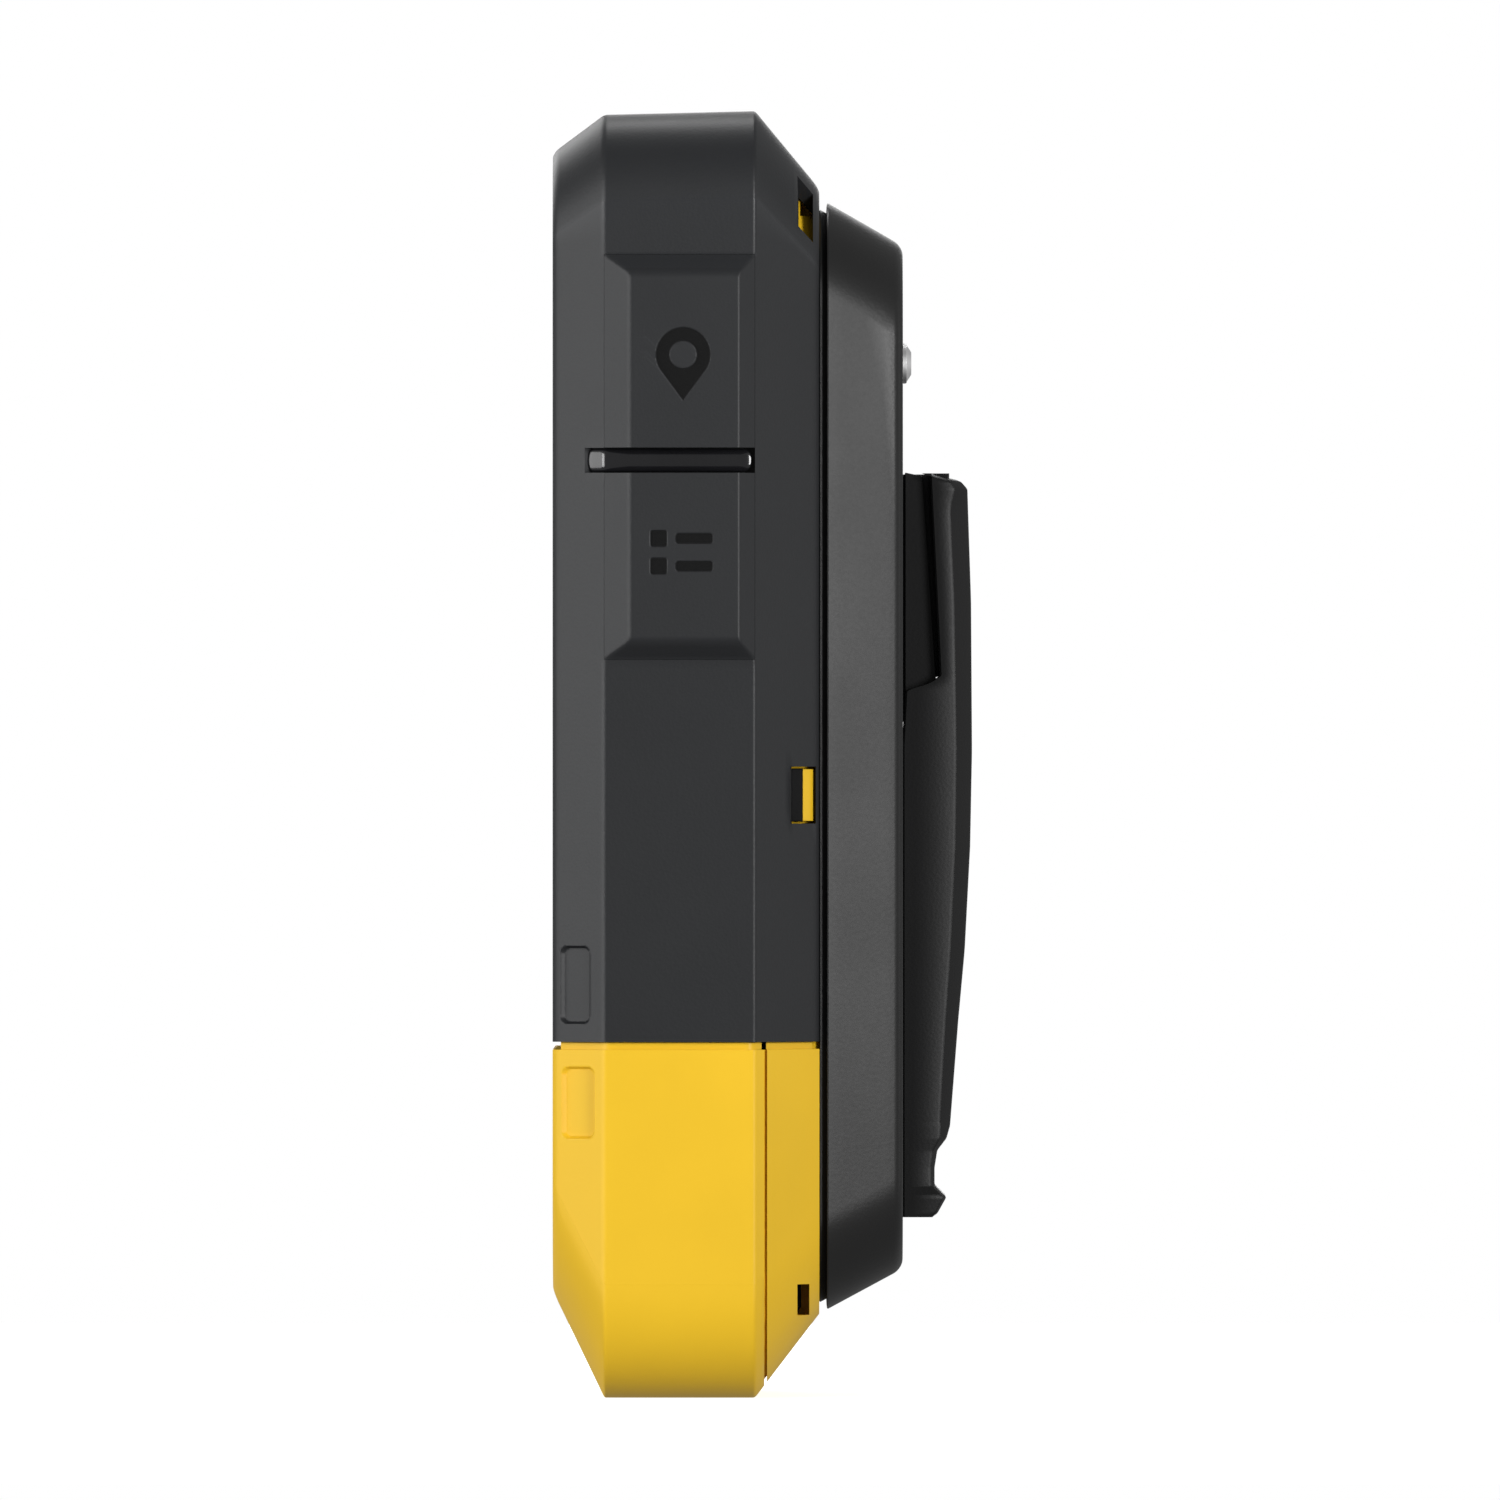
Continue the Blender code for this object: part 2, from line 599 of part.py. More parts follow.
def coil(name, radius, wire, turns, low, high, width, depth, sides=6, steps=12):
    """Upright helical spring whose two ends are capped."""
    rings = []
    for i in range(turns * steps + 1):
        turn = i / steps
        angle = 2 * math.pi * turn
        out = Vector((math.cos(angle), math.sin(angle), 0))
        centre = place(width, depth, low + (high - low) * turn / turns) + out * radius * MM
        ring = []
        for k in range(sides):
            around = 2 * math.pi * k / sides
            ring.append(centre + (out * math.cos(around) + Vector((0, 0, math.sin(around)))) * wire * MM)
        rings.append(ring)
    return smooth(loft(name, rings, "spring_steel"), 60)


def make_cells():
    for name, side in (("left", -1), ("middle", 0), ("right", 1)):
        width = side * CELL_PITCH
        ends = ((width, CELL_DEPTH, CELL_LOW), (width, CELL_DEPTH, CELL_HIGH))
        cell = rod(f"cell_{name}", CELL_RADIUS, *ends, "cell_wrap", 28)
        join(cell, rod(f"cell_nub_{name}", 2.7, (width, CELL_DEPTH, 80), (width, CELL_DEPTH, 82.4)))
        coil(f"cell_spring_{name}", 3.2, 0.35, 3, TRAY_LOW + TRAY_WALL + 0.8, CELL_LOW - 0.8, width, 25.0)


# ---- battery cover ----


def cover_section(depth, inset):
    """Ring of the cover's form at a depth, moved in by inset."""
    share = (depth - COVER_BASE[0]) / (COVER_RIM[0] - COVER_BASE[0])
    half, low, high = (a + (b - a) * share for a, b in zip(COVER_BASE[1:], COVER_RIM[1:]))
    radius = COVER_CORNER - inset
    outline = rounded_outline(half - inset, low + inset, high - inset, radius, radius)
    return [place(width, depth, height) for width, height in outline]


def make_cover():
    sections = ((COVER_FRONT, 0), (COVER_BACK - COVER_EDGE, 0), (COVER_BACK, COVER_EDGE))
    cover = loft("battery_cover", [cover_section(*s) for s in sections], "cover_grey")
    hollow = ((COVER_FRONT - 1, COVER_WALL), (COVER_BACK - COVER_WALL, COVER_WALL))
    cut(cover, loft("cover_hollow", [cover_section(*s) for s in hollow]))
    through = (33.0, 40.0)
    cut(cover, post("lock_hole", LOCK_SHANK_RADIUS + GAP, (0, LOCK_HEIGHT), through, sides=20))
    cut(cover, post("lock_counterbore", LOCK_HEAD_RADIUS + GAP, (0, LOCK_HEIGHT), (37.4, through[1]), sides=24))
    for number, height in enumerate(CLIP_SCREW_HEIGHTS, 1):
        cut(cover, post(f"clip_screw_hole_{number}", SCREW_RADIUS + GAP, (0, height), through))


def make_cover_seal():
    sections = ((COVER_FRONT, 2.1), (31.0, 2.1))
    seal = loft("cover_seal", [cover_section(*s) for s in sections], "rubber")
    hollow = ((COVER_FRONT - 1, 3.3), (32.0, 3.3))
    cut(seal, loft("cover_seal_hollow", [cover_section(*s) for s in hollow]))


def make_lock():
    """Quarter-turn stud: domed head with a coin slot, shank and cross pin, over a brass receptacle."""
    axis = (0, LOCK_HEIGHT)
    lock = post("cover_lock", LOCK_SHANK_RADIUS, axis, (27.2, 38.0), "bright_metal", 20)
    join(
        lock,
        post("lock_head", LOCK_HEAD_RADIUS, axis, (37.7, 38.6), sides=24),
        post("lock_dome", LOCK_HEAD_RADIUS, axis, (38.5, 39.1), sides=24, end_radius=LOCK_DOME_RADIUS),
        rod("lock_cross_pin", 0.5, (-2.6, 27.9, LOCK_HEIGHT), (2.6, 27.9, LOCK_HEIGHT), sides=12),
    )
    cut(lock, box("coin_slot", (-0.4, 0.4), (38.5, 40), (LOCK_HEIGHT - 4, LOCK_HEIGHT + 4)))
    set_origin(lock, place(0, COVER_BACK, LOCK_HEIGHT))
    ring = post("lock_receptacle", RECEPTACLE_RADIUS, axis, (26.6, 28.9), "brass", 24)
    cut(ring, post("receptacle_bore", RECEPTACLE_BORE, axis, (26.0, 30.0), sides=24))


# ---- belt clip ----

CLIP_BACK = (
    (38.4, 19.5),
    (41.3, 19.5),
    (41.9, 19.9),
    (42.9, 21.7),
    (41.6, 23.0),
    (41.6, 24.9),
    (41.9, 26.8),
    (42.9, 28.1),
    (43.3, 29.5),
    (44.2, 41.0),
    (44.9, 48.6),
    (45.5, 60.0),
    (45.7, 70.4),
    (45.6, 86.7),
    (45.2, 98.7),
    (44.3, 99.5),
    (42.7, 100.2),
)
CLIP_CHEEK = ((41.4, 100.2), (42.3, 78.6), (41.3, 77.6), (38.4, 77.0))
CLIP_CHANNEL = (
    (36.0, 25.0),
    (40.0, 25.0),
    (41.2, 29.0),
    (42.5, 41.0),
    (43.2, 48.6),
    (43.7, 60.0),
    (43.8, 75.0),
    (43.5, 90.0),
    (43.2, 98.2),
    (42.8, 98.2),
    (42.8, 103.0),
    (36.0, 103.0),
)
CLIP_BASE = ((38.4, 73.2), (40.4, 73.2), (41.9, 76.0), (40.3, 100.4), (38.4, 100.8))


def make_lever():
    lever = prism("clip_lever", CLIP_BACK + CLIP_CHEEK, CLIP_HALF, "black_plastic")
    cut(lever, prism("lever_channel", CLIP_CHANNEL, CLIP_HALF - CHEEK))
    cut(lever, pivot_rod("lever_pin_hole", PIN_RADIUS + GAP, CLIP_HALF + 2))
    lever.modifiers["lever_pin_hole"].solver = "MANIFOLD"  # the exact solver loses the lever at this hole


def pivot_rod(name, radius, half_length, material=None, sides=24):
    start, end = (-half_length, PIVOT_DEPTH, PIVOT_HEIGHT), (half_length, PIVOT_DEPTH, PIVOT_HEIGHT)
    return rod(name, radius, start, end, material, sides)


def make_clip_base():
    half = CLIP_HALF - CHEEK - GAP
    base = prism("clip_base", CLIP_BASE, half, "black_plastic")
    join(base, pivot_rod("knuckle", KNUCKLE_RADIUS, half))
    cut(base, pivot_rod("knuckle_bore", PIN_RADIUS + GAP, half + 2))
    cut(base, box("spring_room", (-3.2, 3.2), (39.2, 44), (71, 80.5)))
    for number, height in enumerate(CLIP_SCREW_HEIGHTS, 1):
        cut(base, post(f"base_screw_hole_{number}", SCREW_RADIUS + GAP, (0, height), (37.0, 39.8)))


def make_clip_spring():
    """Torsion spring: a coil round the pin, with one leg along the base and one along the lever's web."""
    radius, wire, half_length, leg = 1.55, 0.3, 1.9, 4.0
    turns, steps, sides = 3.5, 12, 6
    count = round(turns * steps)
    path = [Vector((-half_length, PIVOT_DEPTH - radius, PIVOT_HEIGHT + leg))]
    for i in range(count + 1):
        angle = 2 * math.pi * i / steps
        width = half_length * (2 * i / count - 1)
        path.append(Vector((width, PIVOT_DEPTH - radius * math.cos(angle), PIVOT_HEIGHT - radius * math.sin(angle))))
    path.append(Vector((half_length, PIVOT_DEPTH + radius, PIVOT_HEIGHT + leg)))
    rings = []
    for i, point in enumerate(path):
        along = (path[min(i + 1, len(path) - 1)] - path[max(i - 1, 0)]).normalized()
        across = along.cross(Vector((1, 0, 0))).normalized()
        beside = along.cross(across)
        turned = [2 * math.pi * k / sides for k in range(sides)]
        rings.append([place(*(point + (across * math.cos(a) + beside * math.sin(a)) * wire)) for a in turned])
    return smooth(loft("clip_spring", rings, "spring_steel"), 60)


def make_clip_screws():
    for number, height in enumerate(CLIP_SCREW_HEIGHTS, 1):
        screw = post(f"clip_screw_{number}", SCREW_HEAD_RADIUS, (0, height), (35.0, 36.0), "bright_metal")
        join(screw, post(f"clip_shank_{number}", SCREW_RADIUS, (0, height), (35.6, 39.5)))


def hang_on(parent_name, point, names, parent=None):
    """Empty at a joint's axis that the named pieces are parented to, so they move together."""
    empty = bpy.data.objects.new(parent_name, None)
    empty.empty_display_size = 10 * MM
    bpy.context.collection.objects.link(empty)
    empty.location = point - (parent.location if parent else Vector())
    empty.parent = parent
    for name in names:
        piece = bpy.data.objects[name]
        piece.parent = empty
        piece.location = piece.location - point
    return empty


def main():
    clear_scene()
    make_sleeve()
    make_front_housing()
    make_rear_housing()
    make_case_screws()
    make_housing_seal()
    make_display()
    make_side_keys()
    make_key_divider()
    make_port_cover()
    make_zoom_keys()
    make_electronics()
    make_mid_frame()
    make_tray()
    make_cells()
    make_cover()
    make_cover_seal()
    make_lock()
    make_lever()
    make_clip_base()
    pivot_rod("clip_pin", PIN_RADIUS, CLIP_HALF - 0.2, "bright_metal")
    make_clip_spring()
    make_clip_screws()
    with_cover = ["battery_cover", "cover_seal", "cover_lock", "clip_base", "clip_pin", "clip_spring"]
    with_cover += ["clip_screw_1", "clip_screw_2"]
    cover = hang_on("cover_slide", place(0, COVER_FRONT, 70.0), with_cover)
    hang_on("clip_pivot", place(0, PIVOT_DEPTH, PIVOT_HEIGHT), ["clip_lever"], cover)


main()
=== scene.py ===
import math

import bpy
import numpy as np
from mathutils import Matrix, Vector

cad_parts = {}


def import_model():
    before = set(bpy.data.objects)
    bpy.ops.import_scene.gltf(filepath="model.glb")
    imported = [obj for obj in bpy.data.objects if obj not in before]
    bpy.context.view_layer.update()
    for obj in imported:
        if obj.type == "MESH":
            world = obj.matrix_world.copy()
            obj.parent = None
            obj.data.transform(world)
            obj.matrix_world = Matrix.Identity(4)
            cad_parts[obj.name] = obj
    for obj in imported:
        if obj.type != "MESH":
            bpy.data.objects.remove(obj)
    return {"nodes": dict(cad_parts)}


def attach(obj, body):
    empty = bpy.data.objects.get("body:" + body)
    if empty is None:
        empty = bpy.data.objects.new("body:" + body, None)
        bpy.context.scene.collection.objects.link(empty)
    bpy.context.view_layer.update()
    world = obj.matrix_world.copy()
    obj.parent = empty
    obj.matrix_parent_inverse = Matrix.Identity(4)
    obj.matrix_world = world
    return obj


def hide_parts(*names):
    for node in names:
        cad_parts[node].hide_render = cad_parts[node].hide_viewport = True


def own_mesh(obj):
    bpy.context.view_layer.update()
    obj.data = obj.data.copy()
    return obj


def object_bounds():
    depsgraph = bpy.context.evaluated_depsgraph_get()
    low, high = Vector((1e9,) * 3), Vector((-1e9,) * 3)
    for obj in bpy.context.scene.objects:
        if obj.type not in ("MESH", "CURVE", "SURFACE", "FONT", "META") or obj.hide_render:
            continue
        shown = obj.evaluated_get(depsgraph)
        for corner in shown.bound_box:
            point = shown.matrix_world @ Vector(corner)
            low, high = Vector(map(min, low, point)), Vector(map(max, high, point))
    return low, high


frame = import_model()
CAD_LOW, CAD_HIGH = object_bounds()

# ---- measures in millimetres ----
# Widths are from the middle, depths behind the display face and heights from the ground.

MM = 0.001
FRONT = CAD_LOW.y
HAIRLINE = 0.03  # what shows between a soft key and the sleeve round it

# The body's faces as lines through (depth, distance from the middle plane or from the ground)
SIDE = ((0, 31.0), (5.6, 35.0), (22.0, 35.0), (29.3, 26.3))
TOP = ((0, 135.5), (5.6, 139.6), (22.0, 140.0), (29.3, 131.3))
FLOOR = ((0, -11.5), (5.6, 0), (22.0, 0), (29.3, -9.4))
WIDEST = 35.0
TOP_RADIUS, BOTTOM_RADIUS = 9.5, 12.5
RADIUS_LOSS = 0.1
SQUEEZE_FROM = 118.0  # side stations above this height close up where the upper corner starts lower
CREASE = 0.28  # how wide two faces blend into each other
EDGE_DEEP, EDGE_IN = 0.7, 0.5  # the rounded edge between a bevel and the front or back face

SLEEVE_WALL = 1.6
SLEEVE_LOW = 38.8
YELLOW_HIGH = 37.95
SEAM = 23.0
BACK_FACE = 29.0

PAD_RISE = 2.0
PAD_LOW, PAD_HIGH = 80.3, 124.3
PAD_FRONT, PAD_BACK = 5.6, 22.0
GROOVE_LOW, GROOVE_HIGH = 100.6, 103.3
KEY_INNER = 33.0
SIGN_DEEP = 0.16
SIGN_STEP = 0.09

LENS = dict(half=28.7, low=45.5, high=130.5, low_radius=4.0, high_radius=4.0)
PANEL = dict(half=28.6, low=13.6, high=36.4, low_radius=10.0, high_radius=2.2)
ZOOM_NEAR, ZOOM_FAR, ZOOM_LOW, ZOOM_HIGH = 4.0, 24.0, 27.0, 35.0

SNAP_WINDOW = ((25.8, 28.6), (62.5, 68.7))
LANYARD_SLOT = ((26.6, 28.3), (126.4, 131.6))
SLEEVE_POCKET = ((0.95, 3.95), (40.9, 49.1))
YELLOW_POCKET = ((1.1, 4.4), (28.4, 36.0))
POCKET_DEEP = 0.5

COVER_FRONT, COVER_BACK = 29.3, 38.1
COVER_BASE = (26.0, 9.2, 130.5)
COVER_RIM = (23.2, 13.9, 125.5)
COVER_CORNER = 10.5
COVER_WALL = 1.8
COVER_LIP = 29.02  # where the cover's lip meets the body
LOCK_HEIGHT = 112.8

CLIP_HALF, CHEEK = 12.0, 1.6


# ---- surface maths, on whole arrays ----


def world(width, depth, height):
    """Points in metres from widths, depths and heights in millimetres."""
    width, depth, height = np.broadcast_arrays(width, depth, height)
    return np.stack([width * MM, FRONT + depth * MM, height * MM], axis=-1)


def spaced(*stops):
    """Grid positions through alternating values and steps: value, step, value, step, ... value."""
    values, steps = stops[::2], stops[1::2]
    runs = [
        np.linspace(start, end, max(1, round((end - start) / step)), endpoint=False)
        for start, end, step in zip(values, values[1:], steps)
    ]
    return np.append(np.concatenate(runs), values[-1])


def soft_min(a, b, blend):
    """The lower of two values, less a parabola where they are closer than blend, to round a crease."""
    overlap = np.maximum(blend - np.abs(a - b), 0) / blend
    return np.minimum(a, b) - overlap**2 * blend / 4


def soft_max(a, b, blend):
    """The higher of two values, rounded as in soft_min."""
    return -soft_min(-a, -b, blend)


def smooth_step(value, start, end):
    """0 before start and 1 after end, by the cubic t * t * (3 - 2t) between."""
    share = np.clip((value - start) / (end - start), 0, 1)
    return share * share * (3 - 2 * share)


def rounded_box(u, v, half_u, half_v, radius):
    """Distance outside a rounded rectangle about the origin, negative inside it."""
    x = np.abs(u) - half_u + radius
    y = np.abs(v) - half_v + radius
    return np.hypot(np.maximum(x, 0), np.maximum(y, 0)) + np.minimum(np.maximum(x, y), 0) - radius


def lines_of(profile, inset):
    """(slope, value at depth 0) of each straight stretch of a profile, moved in square to it by inset."""
    found = []
    for (start, first), (end, last) in zip(profile, profile[1:]):
        slope = (last - first) / (end - start)
        found.append((slope, first - slope * start - inset * math.hypot(1, slope)))
    return found


def edge_loss(depth, front, back):
    """What a rounded edge takes off near the front and the back: a quarter ellipse, deeper than wide."""
    nearest = np.minimum(depth - front, back - depth)
    left = np.clip(1 - nearest / EDGE_DEEP, 0, 1)
    return EDGE_IN * (1 - np.sqrt(1 - left**2))


def reach(profile, depth, inset=0.0):
    """How far the body reaches at a depth: the softened lowest of its faces' straight lines."""
    (a, b), (c, d), (e, f) = lines_of(profile, inset)
    return soft_min(soft_min(a * depth + b, c * depth + d, CREASE), e * depth + f, CREASE)


def pad_rise(height):
    """Height of the raised key pads above the side: a trapezium, 45 degree slopes, rounded corners."""
    ramp = soft_min(height - PAD_LOW, PAD_HIGH - height, 0.5)
    return soft_max(soft_min(ramp, PAD_RISE, 0.6), 0, 0.35)


def side_reach(depth, height, inset=0.0):
    """Half width of the body at a depth and height: its bevels' lines, the side raised at the pads."""
    (a, b), (_, flat), (c, d) = lines_of(SIDE, inset)
    raised = flat + pad_rise(height)
    return soft_min(soft_min(a * depth + b, raised, CREASE), c * depth + d, CREASE)


def corner_radius(radius, depth, inset):
    return np.maximum(radius - RADIUS_LOSS * (WIDEST - reach(SIDE, depth)) - inset, 0.4)


def half_outline(depth, inset, loss, heights, floor_steps, arc_steps, low=None, high=None):
    """Right half of the body's outline at each depth: widths and heights, with a row for each station.

    From the middle of the floor it runs out along the floor, round the lower corner by a quarter circle,
    up the side through the given heights, round the upper corner and in along the top. With low or high,
    the side ends in a square corner at that height. The lowest height is moved to the side's lower end,
    and the highest to its upper end.
    """
    depth = np.asarray(depth, float)[None, :]
    half = reach(SIDE, depth, inset) - loss
    bottom = -reach(FLOOR, depth, inset) + loss if low is None else np.full_like(depth, low)
    top = reach(TOP, depth, inset) - loss if high is None else np.full_like(depth, high)
    low_radius = corner_radius(BOTTOM_RADIUS, depth, inset) if low is None else np.zeros_like(depth)
    high_radius = corner_radius(TOP_RADIUS, depth, inset) if high is None else np.zeros_like(depth)
    share = np.linspace(0, 1, floor_steps, endpoint=False)[:, None]
    turn = np.linspace(0, math.pi / 2, arc_steps)[:, None]
    widths, levels = [share * (half - low_radius)], [bottom + 0 * share]
    if low is None:
        widths.append(half - low_radius + low_radius * np.sin(turn))
        levels.append(bottom + low_radius - low_radius * np.cos(turn))
    rows = np.asarray(heights, float)[:, None]
    start, end = bottom + low_radius, top - high_radius
    first, last = rows[0], rows[-1]
    lowest = rows[1]
    if high is None:
        room = np.minimum((end - SQUEEZE_FROM) / (last + 1 - SQUEEZE_FROM), 1)
        rows = np.where(rows > SQUEEZE_FROM, SQUEEZE_FROM + (rows - SQUEEZE_FROM) * room, rows)
        rows = np.concatenate([rows[:-1], end])
    rows = np.where(rows <= lowest, start + (rows - first) / (lowest - first) * (lowest - start), rows)
    widths.append(side_reach(depth, rows, inset) - loss + 0 * rows)
    levels.append(rows)
    if high is None:
        widths.append(half - high_radius + high_radius * np.cos(turn))
        levels.append(top - high_radius + high_radius * np.sin(turn))
    back = np.linspace(1, 0, floor_steps + 1)[1:, None]
    widths.append(back * (half - high_radius))
    levels.append(top + 0 * back)
    return np.concatenate(widths), np.concatenate(levels)


def onto_window(width, height, half, low, high, low_radius, high_radius):
    """The point of a rounded window's edge nearest to each point round it.

    Each point is clamped to the rectangle of the corners' centres, then goes out from there by the radius.
    """
    radius = np.where(height < (low + high) / 2, low_radius, high_radius)
    core_width = np.clip(width, radius - half, half - radius)
    core_height = np.clip(height, low + radius, high - radius)
    away = np.hypot(width - core_width, height - core_height)
    away = np.maximum(away, 1e-9)
    edge_width = core_width + radius * (width - core_width) / away
    edge_height = core_height + radius * (height - core_height) / away
    return edge_width, edge_height


def mirrored(right):
    """A closed loop of stations from its right half, which starts and ends on the middle plane."""
    left = right[-2:0:-1] * np.array([-1.0, 1.0, 1.0])
    return np.concatenate([right, left])


def both_sides(right, left):
    """The kept cells of a mirrored loop, from those of its right half and its left half."""
    return np.concatenate([right, left[::-1]])


# ---- meshes ----


def outward(points, faces):
    """The faces as lists, turned round if they enclose a negative volume."""
    volume = 0.0
    for block in faces:
        first, second = points[block[:, 0]], points[block[:, 1:-1].T]
        third = points[block[:, 2:].T]
        volume += np.einsum("ij,kij->", first, np.cross(second, third))
    if volume < 0:
        faces = [block[:, ::-1] for block in faces]
    return [face for block in faces for face in block.tolist()]


def mesh_object(name, points, faces, sharp=38):
    """Object at the origin from points and blocks of equally sided faces, with unused points left out."""
    used = np.unique(np.concatenate([block.ravel() for block in faces]))
    renumbered = np.zeros(len(points), int)
    renumbered[used] = np.arange(len(used))
    points = points[used]
    faces = [renumbered[block] for block in faces]
    data = bpy.data.meshes.new(name)
    data.from_pydata(points.tolist(), [], outward(points, faces))
    data.shade_smooth()
    data.set_sharp_from_angle(angle=math.radians(sharp))
    obj = bpy.data.objects.new(name, data)
    bpy.context.scene.collection.objects.link(obj)
    return obj, used


def sheet_solid(name, outer, inner, kept=None, closed=False, mark=None, sharp=38):
    """Solid between two grids of points: a face on each for every kept cell, and walls at the cells' rim.

    mark is a value for each point of the outer grid, kept as the attribute "sign".
    """
    rows, columns = outer.shape[:2]
    count = rows * columns
    index = np.arange(count).reshape(rows, columns)
    if closed:
        index = np.concatenate([index, index[:1]])
    cells = np.stack([index[:-1, :-1], index[1:, :-1], index[1:, 1:], index[:-1, 1:]], axis=-1)
    cells = cells.reshape(-1, 4) if kept is None else cells[kept]
    start, end = cells.ravel(), np.roll(cells, -1, axis=1).ravel()
    rim = ~np.isin(end * count + start, start * count + end)
    walls = np.stack([end[rim], start[rim], start[rim] + count, end[rim] + count], axis=-1)
    points = np.concatenate([outer.reshape(-1, 3), inner.reshape(-1, 3)])
    obj, used = mesh_object(name, points, [np.concatenate([cells, cells[:, ::-1] + count, walls])], sharp)
    if mark is not None:
        values = np.concatenate([mark.ravel(), np.zeros(count)])[used].astype(np.float32)
        obj.data.attributes.new("sign", "FLOAT", "POINT").data.foreach_set("value", values)
    return obj


def carried(name, rings, sharp=38):
    """Closed solid from a profile carried round an outline.

    The rings have equally many points. Each is joined to the next, and the first and the last are capped.
    """
    rings = np.asarray(rings)
    rows, columns = rings.shape[:2]
    index = np.arange(rows * columns).reshape(rows, columns)
    beside = np.roll(index, -1, axis=1)
    bands = np.stack([index[:-1], beside[:-1], beside[1:], index[1:]], axis=-1).reshape(-1, 4)
    obj, _ = mesh_object(name, rings.reshape(-1, 3), [bands, index[:1, ::-1], index[-1:]], sharp)
    return obj


def bevelled(obj, width, segments=2, angle=50):
    """Rounds every edge sharper than the angle."""
    modifier = obj.modifiers.new("rounded_edges", "BEVEL")
    modifier.width = width * MM
    modifier.segments = segments
    modifier.limit_method = "ANGLE"
    modifier.angle_limit = math.radians(angle)
    modifier.harden_normals = True
    return obj


def refined(name, node, width, angle=28):
    """A rounded piece from a CAD node: its corners merged, its flat faces joined, its edges bevelled."""
    data = frame["nodes"][node].data
    points = np.zeros(len(data.vertices) * 3)
    data.vertices.foreach_get("co", points)
    corners = np.zeros(len(data.loops), int)
    data.loops.foreach_get("vertex_index", corners)
    _, first, merged = np.unique(
        np.round(points.reshape(-1, 3) * 1e7).astype(np.int64), axis=0, return_index=True, return_inverse=True
    )
    triangles = merged.ravel()[corners].reshape(-1, 3)
    whole = (triangles != np.roll(triangles, 1, axis=1)).all(axis=1)
    obj, _ = mesh_object(name, points.reshape(-1, 3)[first], [triangles[whole]], 30)
    flat = obj.modifiers.new("flat_faces", "DECIMATE")
    flat.decimate_type = "DISSOLVE"
    flat.angle_limit = math.radians(0.5)
    return bevelled(obj, width, 2, angle)


# ---- shader maths ----


class Value:
    """A shader socket in a Python expression. Each operation adds one Math node to its material's tree."""

    def __init__(self, tree, socket):
        self.tree = tree
        self.socket = socket

    def math(self, operation, *others):
        made = self.tree.nodes.new("ShaderNodeMath")
        made.operation = operation
        for target, other in zip(made.inputs, others):
            feed(self.tree, target, other)
        return Value(self.tree, made.outputs[0])

    def __add__(self, other):
        return self.math("ADD", self, other)

    def __radd__(self, other):
        return self.math("ADD", other, self)

    def __sub__(self, other):
        return self.math("SUBTRACT", self, other)

    def __rsub__(self, other):
        return self.math("SUBTRACT", other, self)

    def __mul__(self, other):
        return self.math("MULTIPLY", self, other)

    def __rmul__(self, other):
        return self.math("MULTIPLY", other, self)

    def __truediv__(self, other):
        return self.math("DIVIDE", self, other)

    def __lt__(self, other):
        return self.math("LESS_THAN", self, other)

    def __gt__(self, other):
        return self.math("GREATER_THAN", self, other)

    def wrapped(self, period):
        """The value's place within a repeating period."""
        return self.math("WRAP", self, period, 0.0)

    def limited(self):
        """The value kept between 0 and 1."""
        return self.math("MAXIMUM", self.math("MINIMUM", self, 1.0), 0.0)


def feed(tree, target, value):
    if isinstance(value, Value):
        tree.links.new(value.socket, target)
    else:
        target.default_value = value


